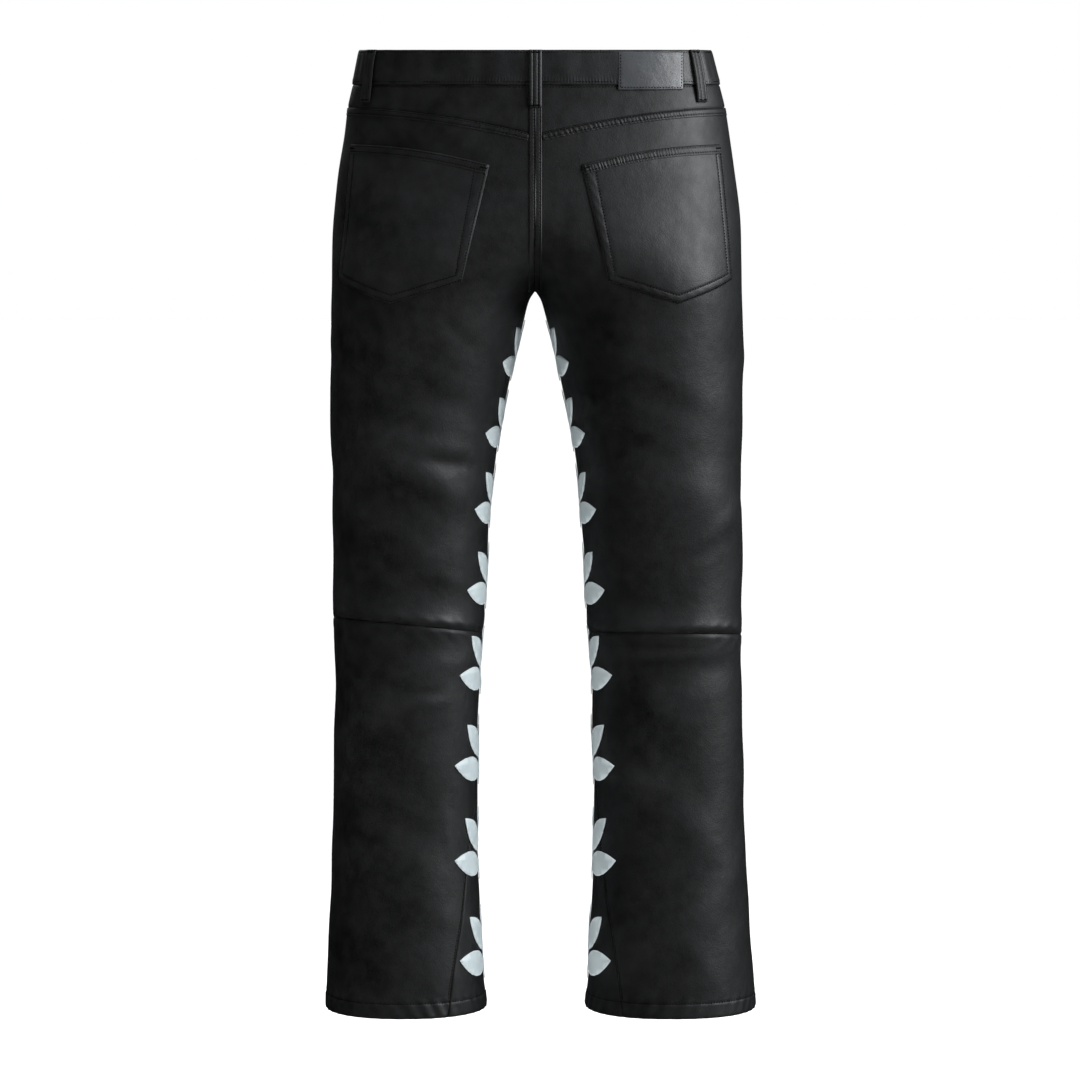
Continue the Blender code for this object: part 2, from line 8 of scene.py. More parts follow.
from collections import namedtuple
from math import asin, cos, pi, radians, sin, tau

import bmesh
import bpy
import numpy as np
from mathutils import Matrix, Vector


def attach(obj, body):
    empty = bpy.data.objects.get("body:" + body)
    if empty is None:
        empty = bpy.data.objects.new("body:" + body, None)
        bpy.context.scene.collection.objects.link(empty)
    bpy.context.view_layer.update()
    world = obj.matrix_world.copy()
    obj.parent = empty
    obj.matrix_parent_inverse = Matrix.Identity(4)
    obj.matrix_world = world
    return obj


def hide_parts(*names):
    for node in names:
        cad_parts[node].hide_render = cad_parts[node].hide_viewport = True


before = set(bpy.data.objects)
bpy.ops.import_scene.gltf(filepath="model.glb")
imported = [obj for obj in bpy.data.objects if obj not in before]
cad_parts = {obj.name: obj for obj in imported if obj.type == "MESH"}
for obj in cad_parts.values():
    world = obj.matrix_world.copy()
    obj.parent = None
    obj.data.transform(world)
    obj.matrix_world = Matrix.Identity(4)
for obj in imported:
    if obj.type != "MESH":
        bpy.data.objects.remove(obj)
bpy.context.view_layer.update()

LEFT, RIGHT = 1, -1
BACK, FRONT = 1, -1
SIDES = {LEFT: "left", RIGHT: "right"}

# ---------------------------------------------------------------- the cut, as in the frame
CLOTH = 0.0015
SEAM, SEAM_OVERLAP, SEAM_MEET = 0.0003, 0.0001, 0.0002
SIDE_SEAM_FORWARD = 0.006
FULLNESS = 2.25
BAND_TOP, BAND_BOTTOM = 0.019, -0.018
YOKE_SIDE, YOKE_CENTRE, YOKE_CURVE = -0.0437, -0.0718, 1.8
FLY_BOTTOM = -0.150
CROTCH, CROTCH_BLEND, CROTCH_SLOPE = -0.244, 0.125, 0.62
KNEE_OUTER, KNEE_INNER, KNEE_RISE = {LEFT: -0.602, RIGHT: -0.621}, -0.619, 0.11
GODET_TOP, HEM, GODET_HEM = -0.742, -1.035, 0.092
LAP, LAP_LIFT, LAP_FLAT, LAP_RISE, LAP_STEP, UNDERLAP = 0.008, 0.0027, 0.022, 0.060, 0.015, 0.020
BAND_CLOTH, BAND_PROUD = 0.0020, 0.0008
LOOP_WIDTH, LOOP_CLOTH, LOOP_BULGE, LOOP_ARCH, LOOP_CLEAR = 0.014, 0.0020, 0.0026, 0.6, 0.0004
PATCH_CLOTH, PATCH_CLEAR = 0.0010, 0.0005
POCKET_CLEAR = 0.0009
BUTTON_X = 0.006
SPRIG_CLOTH, SPRIG_CLEAR = 0.0008, 0.0010
SPRIG_TOP, SPRIG_FIRST_STEP, SPRIG_STEP_GROWTH = -0.332, 0.078, 0.0055
SPRIG_COUNT, SPRIG_FIRST_SIZE, SPRIG_SIZE_GROWTH = 8, 0.84, 0.030
STALK_HALF, STALK_FOOT = 0.0018, -0.011

Section = namedtuple("Section", "height left_out right_out front back")
SECTIONS = [
    Section(0.019, 0.1911, 0.1911, 0.0880, 0.0860),
    Section(-0.018, 0.1985, 0.2003, 0.0915, 0.0905),
    Section(-0.045, 0.2052, 0.2072, 0.0940, 0.0955),
    Section(-0.080, 0.2102, 0.2124, 0.0960, 0.1035),
    Section(-0.125, 0.2160, 0.2190, 0.0970, 0.1125),
    Section(-0.170, 0.2206, 0.2232, 0.0960, 0.1190),
    Section(-0.210, 0.2225, 0.2256, 0.0930, 0.1200),
    Section(-0.244, 0.2228, 0.2261, 0.0900, 0.1165),
    Section(-0.275, 0.2239, 0.2270, 0.0885, 0.1115),
    Section(-0.320, 0.2241, 0.2272, 0.0880, 0.1050),
    Section(-0.385, 0.2242, 0.2266, 0.0870, 0.0970),
    Section(-0.450, 0.2235, 0.2260, 0.0845, 0.0905),
    Section(-0.520, 0.2228, 0.2270, 0.0810, 0.0840),
    Section(-0.605, 0.2220, 0.2268, 0.0755, 0.0755),
    Section(-0.695, 0.2214, 0.2279, 0.0715, 0.0710),
    Section(-0.785, 0.2228, 0.2296, 0.0710, 0.0710),
    Section(-0.850, 0.2250, 0.2320, 0.0730, 0.0735),
    Section(-0.920, 0.2277, 0.2356, 0.0765, 0.0770),
    Section(-0.985, 0.2302, 0.2402, 0.0815, 0.0820),
    Section(-1.035, 0.2330, 0.2445, 0.0860, 0.0860),
]

Gap = namedtuple("Gap", "height inner")
LEG_GAPS = [
    Gap(-0.244, 0.0000),
    Gap(-0.253, 0.0056),
    Gap(-0.275, 0.0120),
    Gap(-0.320, 0.0238),
    Gap(-0.385, 0.0373),
    Gap(-0.450, 0.0466),
    Gap(-0.520, 0.0524),
    Gap(-0.605, 0.0575),
    Gap(-0.695, 0.0624),
    Gap(-0.785, 0.0647),
    Gap(-0.850, 0.0643),
    Gap(-0.920, 0.0620),
    Gap(-0.985, 0.0594),
    Gap(-1.035, 0.0545),
]

# Ridges (+) and troughs (-): where they are, how long, wide and deep, and how they slant
Fold = namedtuple("Fold", "side height angle length width depth slant")
FOLDS = [
    Fold(LEFT, -0.350, 95, 0.075, 0.018, -0.0028, -24),
    Fold(LEFT, -0.420, 70, 0.085, 0.030, 0.0032, -18),
    Fold(LEFT, -0.505, 100, 0.070, 0.022, -0.0026, 22),
    Fold(LEFT, -0.590, 85, 0.080, 0.016, 0.0028, -8),
    Fold(LEFT, -0.700, 75, 0.080, 0.026, 0.0030, 28),
    Fold(LEFT, -0.830, 100, 0.075, 0.026, -0.0026, -30),
    Fold(RIGHT, -0.345, 100, 0.070, 0.018, -0.0026, 26),
    Fold(RIGHT, -0.455, 75, 0.090, 0.030, 0.0030, 16),
    Fold(RIGHT, -0.595, 95, 0.070, 0.015, 0.0026, 5),
    Fold(RIGHT, -0.655, 70, 0.085, 0.018, -0.0028, -6),
    Fold(RIGHT, -0.775, 120, 0.060, 0.020, 0.0030, 40),
    Fold(RIGHT, -0.930, 80, 0.090, 0.026, 0.0030, -38),
    Fold(LEFT, -0.300, -110, 0.065, 0.016, -0.0028, 30),
    Fold(LEFT, -0.345, -100, 0.080, 0.020, 0.0026, 24),
    Fold(LEFT, -0.560, -85, 0.080, 0.020, 0.0028, -12),
    Fold(LEFT, -0.640, -95, 0.075, 0.018, -0.0028, 10),
    Fold(LEFT, -0.860, -90, 0.080, 0.026, 0.0028, -26),
    Fold(RIGHT, -0.305, -112, 0.065, 0.016, -0.0026, 28),
    Fold(RIGHT, -0.360, -98, 0.080, 0.020, 0.0028, 20),
    Fold(RIGHT, -0.575, -90, 0.080, 0.018, 0.0028, -10),
    Fold(RIGHT, -0.650, -85, 0.075, 0.020, -0.0026, 14),
    Fold(RIGHT, -0.880, -95, 0.080, 0.026, 0.0028, -22),
]

# Creases finer than the frame's folds
CREASES = [
    # back of the left leg
    Fold(LEFT, -0.285, 108, 0.035, 0.008, -0.0010, -40),
    Fold(LEFT, -0.307, 74, 0.045, 0.010, 0.0012, -30),
    Fold(LEFT, -0.330, 80, 0.040, 0.008, -0.0010, -32),
    Fold(LEFT, -0.401, 92, 0.060, 0.011, 0.0020, -14),
    Fold(LEFT, -0.425, 115, 0.035, 0.008, -0.0018, -8),
    Fold(LEFT, -0.437, 97, 0.055, 0.013, 0.0022, -32),
    Fold(LEFT, -0.447, 84, 0.035, 0.008, -0.0018, -42),
    Fold(LEFT, -0.468, 47, 0.020, 0.006, -0.0012, -60),
    Fold(LEFT, -0.482, 60, 0.030, 0.009, 0.0011, -35),
    Fold(LEFT, -0.515, 88, 0.040, 0.012, 0.0013, -35),
    Fold(LEFT, -0.535, 77, 0.045, 0.010, -0.0017, -35),
    Fold(LEFT, -0.552, 118, 0.028, 0.008, 0.0010, -20),
    Fold(LEFT, -0.596, 103, 0.055, 0.008, 0.0016, -12),
    Fold(LEFT, -0.646, 122, 0.045, 0.012, 0.0016, 2),
    Fold(LEFT, -0.660, 60, 0.030, 0.010, -0.0010, -16),
    Fold(LEFT, -0.675, 96, 0.030, 0.007, -0.0014, -9),
    Fold(LEFT, -0.688, 106, 0.025, 0.008, 0.0012, 3),
    Fold(LEFT, -0.735, 70, 0.045, 0.012, -0.0010, 20),
    Fold(LEFT, -0.792, 80, 0.050, 0.012, 0.0013, -38),
    Fold(LEFT, -0.806, 72, 0.045, 0.010, -0.0010, -40),
    Fold(LEFT, -0.828, 126, 0.035, 0.010, 0.0012, -75),
    Fold(LEFT, -0.905, 88, 0.060, 0.014, 0.0011, -28),
    Fold(LEFT, -0.960, 70, 0.040, 0.012, -0.0010, 24),
    # back of the right leg
    Fold(RIGHT, -0.290, 112, 0.035, 0.008, -0.0012, 42),
    Fold(RIGHT, -0.318, 96, 0.045, 0.010, 0.0010, 34),
    Fold(RIGHT, -0.395, 110, 0.040, 0.010, -0.0011, 30),
    Fold(RIGHT, -0.440, 118, 0.035, 0.009, 0.0010, 22),
    Fold(RIGHT, -0.492, 43, 0.045, 0.012, 0.0014, -30),
    Fold(RIGHT, -0.520, 60, 0.040, 0.011, -0.0010, -22),
    Fold(RIGHT, -0.560, 112, 0.035, 0.009, 0.0010, 26),
    Fold(RIGHT, -0.604, 75, 0.090, 0.008, 0.0015, 0),
    Fold(RIGHT, -0.629, 104, 0.050, 0.0045, -0.0010, 2),
    Fold(RIGHT, -0.638, 86, 0.060, 0.0075, 0.0012, -3),
    Fold(RIGHT, -0.685, 98, 0.040, 0.014, 0.0016, 60),
    Fold(RIGHT, -0.735, 98, 0.055, 0.015, -0.0016, 55),
    Fold(RIGHT, -0.773, 117, 0.030, 0.010, 0.0020, 12),
    Fold(RIGHT, -0.791, 130, 0.020, 0.010, -0.0015, 20),
    Fold(RIGHT, -0.840, 66, 0.050, 0.015, 0.0012, 48),
    Fold(RIGHT, -0.925, 90, 0.050, 0.014, -0.0016, 51),
    Fold(RIGHT, -0.963, 74, 0.055, 0.014, 0.0018, 60),
    # front of the left leg
    Fold(LEFT, -0.215, -118, 0.050, 0.007, 0.0015, 32),
    Fold(LEFT, -0.233, -112, 0.060, 0.008, -0.0016, 26),
    Fold(LEFT, -0.262, -108, 0.060, 0.009, 0.0018, 20),
    Fold(LEFT, -0.325, -96, 0.045, 0.009, -0.0014, 12),
    Fold(LEFT, -0.410, -78, 0.045, 0.012, 0.0012, -26),
    Fold(LEFT, -0.480, -104, 0.040, 0.010, -0.0012, 30),
    Fold(LEFT, -0.540, -92, 0.045, 0.009, 0.0014, -18),
    Fold(LEFT, -0.582, -76, 0.050, 0.010, -0.0014, 8),
    Fold(LEFT, -0.612, -102, 0.050, 0.009, 0.0016, -6),
    Fold(LEFT, -0.660, -80, 0.045, 0.010, 0.0012, 18),
    Fold(LEFT, -0.705, -98, 0.040, 0.012, -0.0012, -24),
    Fold(LEFT, -0.790, -84, 0.050, 0.014, 0.0014, -32),
    Fold(LEFT, -0.905, -97, 0.055, 0.014, -0.0014, 28),
    Fold(LEFT, -0.966, -76, 0.050, 0.013, 0.0014, -42),
    # front of the right leg
    Fold(RIGHT, -0.208, -120, 0.045, 0.007, -0.0014, 34),
    Fold(RIGHT, -0.228, -114, 0.060, 0.008, 0.0016, 24),
    Fold(RIGHT, -0.270, -106, 0.055, 0.009, 0.0015, 18),
    Fold(RIGHT, -0.335, -88, 0.045, 0.010, -0.0014, 8),
    Fold(RIGHT, -0.425, -100, 0.045, 0.012, 0.0012, -20),
    Fold(RIGHT, -0.500, -80, 0.040, 0.011, -0.0012, 24),
    Fold(RIGHT, -0.548, -98, 0.050, 0.010, 0.0013, -14),
    Fold(RIGHT, -0.600, -84, 0.050, 0.009, -0.0014, 6),
    Fold(RIGHT, -0.630, -106, 0.045, 0.009, 0.0015, -10),
    Fold(RIGHT, -0.690, -78, 0.045, 0.011, 0.0012, 26),
    Fold(RIGHT, -0.760, -96, 0.040, 0.013, -0.0012, -30),
    Fold(RIGHT, -0.830, -80, 0.050, 0.014, 0.0014, -36),
    Fold(RIGHT, -0.945, -100, 0.055, 0.014, -0.0013, 34),
    # round the outseams and inseams
    Fold(LEFT, -0.300, 6, 0.030, 0.012, 0.0010, -26),
    Fold(LEFT, -0.445, -8, 0.030, 0.012, -0.0010, 18),
    Fold(LEFT, -0.618, -30, 0.035, 0.009, 0.0012, 6),
    Fold(LEFT, -0.600, 168, 0.035, 0.009, 0.0013, -8),
    Fold(LEFT, -0.655, -172, 0.035, 0.010, -0.0012, 12),
    Fold(RIGHT, -0.320, -4, 0.030, 0.012, 0.0010, 22),
    Fold(RIGHT, -0.470, 6, 0.030, 0.012, -0.0010, -18),
    Fold(RIGHT, -0.634, -32, 0.035, 0.009, 0.0012, -6),
    Fold(RIGHT, -0.608, 170, 0.035, 0.009, 0.0013, 8),
    Fold(RIGHT, -0.668, -170, 0.035, 0.010, -0.0012, -12),
]

# Slow unevenness of the whole cloth: waves down the leg, waves round it, depth and phase
Drift = namedtuple("Drift", "down round depth phase")
DRIFTS = [Drift(31, 2, 0.00045, 0.4), Drift(52, -3, 0.00035, 2.1), Drift(83, 5, 0.00022, 4.0)]

Corner = namedtuple("Corner", "across height")
POCKET_INNER_TOP = Corner(0.0490, -0.1035)
POCKET_OUTER_TOP = Corner(0.1990, -0.0825)
POCKET_INNER_BOTTOM = Corner(0.0785, -0.2270)
POCKET_OUTER_BOTTOM = Corner(0.2110, -0.2280)
POCKET_POINT_HEIGHT, POCKET_TOP_CROWN, POCKET_POINT_AT = -0.2515, 0.0055, 0.47
PATCH_INNER_TOP = Corner(0.0884, 0.0166)
PATCH_OUTER_BOTTOM = Corner(0.1585, -0.0240)

# A belt loop's angle at its foot, how far it turns up to its top, and its foot's height
Loop = namedtuple("Loop", "name side angle lean foot")
BELT_LOOPS = [
    Loop("loop_centre_back", LEFT, 90, 0, -0.0430),
    Loop("loop_back_left", LEFT, 27.5, -2.0, -0.0375),
    Loop("loop_back_right", RIGHT, 31, -2.2, -0.0375),
    Loop("loop_front_left", LEFT, -58, 0, -0.0375),
    Loop("loop_front_right", RIGHT, -58, 0, -0.0375),
]

Leaf = namedtuple("Leaf", "root turn length width")
SIDE_LEAVES = [Leaf(0.004, 78, 0.066, 0.027), Leaf(0.020, 48, 0.062, 0.024)]
TOP_LEAF = Leaf(0.034, 0, 0.034, 0.014)

# ---------------------------------------------------------------- the finish
STITCH_PITCH = 0.0033
STITCH_SIZE = (0.00115, 0.00058, 0.00034)  # half of a stitch's length, width and height
STITCH_SIT = 0.00015  # how high a stitch's middle is over the cloth
TACK_PITCH, TACK_SIZE = 0.0009, (0.0005, 0.0011, 0.00036)
ROW_INSET = 0.0026  # how far a row is from its seam or edge, where it has no distance of its own
EDGE_DIP, EDGE_SOFT = 0.0007, 0.0018  # how a cut edge turns in at a seam
KNEE_ROLL = 0.0011  # how far the cloth rolls over the knee seam, and sinks at it
KNEE_SINK_WIDTH, KNEE_ROLL_AT, KNEE_ROLL_WIDTH = 0.0030, 0.0075, 0.0050  # heights from the seam
HEM_STITCH = HEM + 0.0165
HEM_DOUBLE, HEM_ROPE = 0.0005, 0.00048  # height of the turned-up cloth, and of its slanted ropes
HEM_STITCH_PULL, HEM_EDGE_DIP = 0.0005, 0.0007
RIDGE_LIGHT_FULL, RIDGE_LIGHT_MOST = 0.0045, 0.5  # the height of a ridge that is drawn lightest, and how light that is: partly wear, partly painted sheen
BAND_OVERLAP = 0.0006  # how far the waistband reaches below its seam
BAND_EDGE_DIP, BAND_ROW_DIP, BAND_TICK = 0.0008, 0.0003, 0.00022
FELL_CLOTH, FELL_RISE, FELL_SUNK = 0.0009, 0.0008, 0.0003  # a doubled band's wall, height and edge depth
FELL_WIDTH, FELL_ROWS, FELL_START = 0.0096, (0.0014, 0.0062), 0.0006
PUCKERS = {LEFT: 0.00012, RIGHT: 0.00046}  # the right side's seam is the more puckered
YOKE_LENGTH = 0.235  # along half of the yoke seam, for its puckers
SEAT_HALF, SEAT_ROWS, SEAT_FOOT, SEAT_LIFT = 0.0072, (0.0059, 0.0122), -0.2428, 0.0006
POCKET_ROWS_IN = (0.0017, 0.0085)  # stitching's distances from the pocket's edge
POCKET_TOP_ROWS = (0.0020, 0.0078)
POCKET_WIDTH, POCKET_TOP_WIDTH, POCKET_HEM = 0.155, 0.158, 0.0112
POCKET_SLANT = 0.94  # a point's distance from a slanted lower edge, over its height above that edge
PATCH_ROW = 0.0022  # how far the patch's stitching is from its edge
FLY_ROWS, FRONT_SEAM_ROWS = (0.030, 0.036), (0.0022, 0.0082)
SPRIG_RIM, SPRIG_RIM_DIP, SPRIG_RIB_DIP = 0.0007, 0.0005, 0.0003


# ---------------------------------------------------------------- points of the cloth
def smooth_step(t):
    t = np.clip(t, 0.0, 1.0)
    return t * t * (3 - 2 * t)


def power(value, exponent):
    return np.sign(value) * np.abs(value) ** exponent


def read(table, column, height):
    """A column of a table at each height, by a smooth cubic between the rows on either side."""
    known = np.array([(row.height, getattr(row, column)) for row in table])[::-1]
    z, value = known.T
    last = len(z) - 1
    after = np.minimum(np.arange(last + 1) + 1, last)
    before = np.maximum(np.arange(last + 1) - 1, 0)
    slope = (value[after] - value[before]) / (z[after] - z[before])
    height = np.clip(height, z[0], z[-1])
    i = np.clip(np.searchsorted(z, height), 1, last)
    span = z[i] - z[i - 1]
    t = (height - z[i - 1]) / span
    return (
        value[i - 1] * (2 * t**3 - 3 * t**2 + 1)
        + slope[i - 1] * span * (t**3 - 2 * t**2 + t)
        + value[i] * (3 * t**2 - 2 * t**3)
        + slope[i] * span * (t**3 - t**2)
    )


def ring(side, height):
    """Centre, half width, front depth and back depth of a leg at each height."""
    outer = read(SECTIONS, "left_out" if side == LEFT else "right_out", height)
    t = np.clip((height - CROTCH) / CROTCH_BLEND, 0, 1)
    joined = -outer * t**2 * (3 - 2 * t) - CROTCH_SLOPE * CROTCH_BLEND * t * (1 - t) ** 2
    inner = np.where(height > CROTCH, joined, read(LEG_GAPS, "inner", height))
    front, back = read(SECTIONS, "front", height), read(SECTIONS, "back", height)
    return (outer + inner) / 2, (outer - inner) / 2, front, back


def on_ring(side, height, angle):
    centre, half, front, back = ring(side, height)
    across = centre + half * power(np.cos(angle), 2 / FULLNESS)
    depth = np.where(np.sin(angle) >= 0, back, front) * power(np.sin(angle), 2 / FULLNESS)
    return np.stack([side * across, depth, height + 0 * across], axis=-1)


def outward(side, height, angle):
    """The direction straight out of the ring's surface."""
    step, rise = 0.01, 0.001
    round_ring = on_ring(side, height, angle + step) - on_ring(side, height, angle - step)
    up = on_ring(side, height + rise, angle) - on_ring(side, height - rise, angle)
    out = side * np.cross(round_ring, up)
    return out / np.linalg.norm(out, axis=-1, keepdims=True)


def fold_height(side, height, angle, folds):
    """How far the folds raise the cloth at each point."""
    _, half, front, back = ring(side, height)
    radius = (half + np.where(angle > 0, back, front)) / 2
    total = 0 * angle
    for fold in folds:
        if fold.side == side:
            turn = (angle - radians(fold.angle) + pi) % tau - pi
            round_ring, up, slant = turn * radius, height - fold.height, radians(fold.slant)
            along = round_ring * cos(slant) + up * sin(slant)
            across = up * cos(slant) - round_ring * sin(slant)
            fade = np.exp(-((along / fold.length) ** 2) - (across / fold.width) ** 2)
            total = total + fold.depth * fade
    return total


def drift(side, height, angle):
    """How far the slow unevenness raises the cloth."""
    total = 0 * angle
    for wave in DRIFTS:
        total = total + wave.depth * np.sin(wave.down * height + wave.round * angle + wave.phase * side)
    return total


def lap_lift(side, height, across):
    """The left side is raised near the centre front, to lie on the right side."""
    if side != LEFT:
        return 0 * across
    near = smooth_step((LAP_RISE - across) / (LAP_RISE - LAP_FLAT))
    return LAP_LIFT * near * smooth_step((height - FLY_BOTTOM) / LAP_STEP)


def on_cloth(side, height, angle, lift=0.0):
    """Points of the cloth's outer face, or lifted off it."""
    height, angle, lift = np.broadcast_arrays(*(np.asarray(a, float) for a in (height, angle, lift)))
    point = on_ring(side, height, angle)
    raised = lift + fold_height(side, height, angle, FOLDS + CREASES) + drift(side, height, angle)
    over_fly = (angle < 0) & (height > FLY_BOTTOM)
    raised = raised + np.where(over_fly, lap_lift(side, height, side * point[..., 0]), 0.0)
    return point + outward(side, height, angle) * raised[..., None]


def angle_at_x(side, height, across, half_of_body):
    """The angle where the ring is this far from the centre line, on the back or the front."""
    centre, half, _, _ = ring(side, height)
    return half_of_body * np.arccos(power(np.clip((across - centre) / half, -1, 1), FULLNESS / 2))


def on_body(x, height, half_of_body, lift=0.0):
    """Points by their place across the body: x is more than 0 on the wearer's left."""
    x, height, lift = np.broadcast_arrays(*(np.asarray(a, float) for a in (x, height, lift)))
    sides = [on_cloth(s, height, angle_at_x(s, height, s * x, half_of_body), lift) for s in (LEFT, RIGHT)]
    return np.where(x[..., None] > 0, sides[0], sides[1])


def on_trunk(turn, height, lift):
    """Points round the waist, by the angle from the left side (0) over the back (90)."""
    left = on_cloth(LEFT, height, turn, lift)
    right = on_cloth(RIGHT, height, pi - turn, lift)
    return np.where(turn[..., None] < pi / 2, left, right)


def outseam(side, height, half_of_body):
    front = ring(side, height)[2]
    y = SIDE_SEAM_FORWARD + half_of_body * SEAM_OVERLAP
    return -np.arcsin((y / front) ** (FULLNESS / 2))


def mean_radius(side, height):
    _, half, front, back = ring(side, height)
    return (half + (front + back) / 2) / 2


def godet_turn(side, height):
    """Half of the godet's width at a height, as an angle round the ring."""
    width = GODET_HEM * (GODET_TOP - height) / (GODET_TOP - HEM)
    return np.maximum(width, 0.0) / mean_radius(side, height)


def inner_edge(side, height, half_of_body):
    """The angle of a panel's inner edge: the centre seam, then the inseam, then the godet."""
    centre, half, _, _ = ring(side, height)
    at_centre = angle_at_x(side, height, 0.0, half_of_body)
    return np.where(half > centre, at_centre, half_of_body * (pi - godet_turn(side, height)))


def yoke_seam(angle):
    reach = np.abs(np.cos(angle)) ** (2 / FULLNESS)
    return YOKE_SIDE + (YOKE_CENTRE - YOKE_SIDE) * (1 - reach) ** YOKE_CURVE


def knee_seam(side, angle):
    """The knee seam's height: it rises towards the back of the leg, so it looks straight from there."""
    share = (1 - power(np.cos(angle), 2 / FULLNESS)) / 2
    rise = KNEE_RISE * on_ring(side, KNEE_INNER + 0 * angle, angle)[..., 1]
    return KNEE_OUTER[side] + (KNEE_INNER - KNEE_OUTER[side]) * share + rise


def eased(u, ease=0.6):
    """Columns closer together at a panel's two edges."""
    return u - ease * np.sin(tau * u) / tau


def column_angle(side, height, u):
    """The angle of a back panel's column at a height, from the outseam (0) to the inner edge (1)."""
    level = height + 0 * u
    outer = outseam(side, level, BACK)
    return outer + (inner_edge(side, level, BACK) - outer) * eased(u)


def knee_edge(side, u):
    """The height of the knee seam at a back panel's column."""
    return knee_seam(side, column_angle(side, KNEE_INNER, u))


def off_centre(x):
    """Keeps x just off the centre line, where the two sides meet."""
    return np.where(np.abs(x) < 1e-5, 1e-5, x)


def spaced(*stretches):
    """Values from 0 up, in stretches: where each one ends and how many steps it has."""
    values = [0.0]
    for end, steps in stretches:
        values += list(np.linspace(values[-1], end, steps + 1)[1:])
    return np.array(values)


def groove(distance, at, depth, width):
    return -depth * np.exp(-(((distance - at) / width) ** 2))


def turned_in(*distances):
    """How far cloth dips beside its seamed edges."""
    return sum(groove(distance, 0.0, EDGE_DIP, EDGE_SOFT) for distance in distances)


# ---------------------------------------------------------------- materials
def put(tree, target, values):
    """Links or sets the inputs of a node."""
    for socket, value in values.items():
        if isinstance(value, bpy.types.NodeSocket):
            tree.links.new(value, target.inputs[socket])
        else:
            target.inputs[socket].default_value = value


def node(tree, kind, links=None, **settings):
    made = tree.nodes.new(kind)
    for name, value in settings.items():
        setattr(made, name, value)
    put(tree, made, links or {})
    return made


def new_material(name):
    """A material, its tree and the point of the object that it colours."""
    material = bpy.data.materials.new(name)
    material.use_nodes = True
    tree = material.node_tree
    return material, tree, node(tree, "ShaderNodeTexCoord").outputs["Object"]


def surface(tree, values):
    put(tree, tree.nodes["Principled BSDF"], values)


def noise(tree, place, scale, detail):
    return node(tree, "ShaderNodeTexNoise", {"Vector": place, "Scale": scale, "Detail": detail}).outputs[0]


def pebbles(tree, place, scale):
    links = {"Vector": place, "Scale": scale}
    return node(tree, "ShaderNodeTexVoronoi", links, feature="SMOOTH_F1").outputs[0]


def tone_and_sheen_of(tree):
    return node(tree, "ShaderNodeAttribute", attribute_name="tone_and_sheen").outputs["Fac"]


def mixed(tree, factor, low, high):
    """A colour between two, by a factor from 0 to 1."""
    return node(tree, "ShaderNodeMix", {0: factor, 6: low, 7: high}, data_type="RGBA").outputs[2]


def ranged(tree, value, low, high, start=0.0, end=1.0):
    links = {"Value": value, "From Min": start, "From Max": end, "To Min": low, "To Max": high}
    return node(tree, "ShaderNodeMapRange", links).outputs[0]


def reckoned(tree, operation, first, second, **settings):
    return node(tree, "ShaderNodeMath", {0: first, 1: second}, operation=operation, **settings).outputs[0]


def bumped(tree, height, strength, distance, **below):
    links = {"Height": height, "Strength": strength, "Distance": distance, **below}
    return node(tree, "ShaderNodeBump", links).outputs[0]


def waxed_cloth(name, dark, worn_and_sheen, rough, grain):
    """Coated cloth: fine pebbled grain, cloudy wax, and a lighter colour that is partly wear and partly
    painted sheen.
    """
    material, tree, place = new_material(name)
    fine = noise(tree, place, 1100, 2)
    wear_and_sheen = tone_and_sheen_of(tree)
    for spots, most, start, end in (
        (noise(tree, place, 16, 4), 0.40, 0.36, 0.66),
        (noise(tree, place, 70, 4), 0.32, 0.36, 0.68),
        (fine, 0.20, 0.45, 0.75),
    ):
        wear_and_sheen = reckoned(tree, "ADD", wear_and_sheen, ranged(tree, spots, 0.0, most, start, end), use_clamp=True)
    grained = bumped(tree, reckoned(tree, "ADD", pebbles(tree, place, 720), fine), grain, 0.00022)
    surface(tree, {
        "Base Color": mixed(tree, wear_and_sheen, dark, worn_and_sheen),
        "Roughness": ranged(tree, wear_and_sheen, rough + 0.07, rough - 0.07),
        "Normal": bumped(tree, noise(tree, place, 75, 3), 0.6, 0.0009, Normal=grained),
        "Specular IOR Level": 0.42,
        "Coat Weight": 0.04,
        "Coat Roughness": 0.34,
    })
    return material


def twill_reverse():
    """The uncoated inside: matt twill with its diagonal lines."""
    material, tree, place = new_material("twill_reverse")
    turned = node(tree, "ShaderNodeMapping", {"Vector": place, "Rotation": (0.4, 0.9, 0.6)}).outputs[0]
    lines = node(tree, "ShaderNodeTexWave", {"Vector": turned, "Scale": 260, "Distortion": 0.6}).outputs[1]
    shade = reckoned(tree, "MULTIPLY", lines, noise(tree, place, 40, 4))
    surface(tree, {
        "Base Color": mixed(tree, shade, (0.010, 0.010, 0.011, 1), (0.034, 0.034, 0.037, 1)),
        "Roughness": 0.9,
        "Specular IOR Level": 0.2,
        "Normal": bumped(tree, lines, 0.4, 0.0002),
    })
    return material


def pale_leather():
    """Pale blue-white leather with a faint grain and a lighter cut edge."""
    material, tree, place = new_material("pale_leather")
    cloud = noise(tree, place, 55, 4)
    body = mixed(tree, ranged(tree, cloud, 0, 1, 0.3, 0.7), (0.43, 0.50, 0.52, 1), (0.51, 0.58, 0.60, 1))
    surface(tree, {
        "Base Color": mixed(tree, tone_and_sheen_of(tree), body, (0.64, 0.71, 0.73, 1)),
        "Roughness": ranged(tree, cloud, 0.5, 0.66),
        "Normal": bumped(tree, pebbles(tree, place, 900), 0.3, 0.0002),
    })
    return material


def thread():
    """Waxed black thread with its twist."""
    material, tree, place = new_material("thread")
    twist = noise(tree, place, 1600, 1)
    surface(tree, {
        "Base Color": mixed(tree, twist, (0.0008, 0.0008, 0.0009, 1), (0.0040, 0.0041, 0.0044, 1)),
        "Roughness": 0.85,
        "Specular IOR Level": 0.08,
    })
    return material


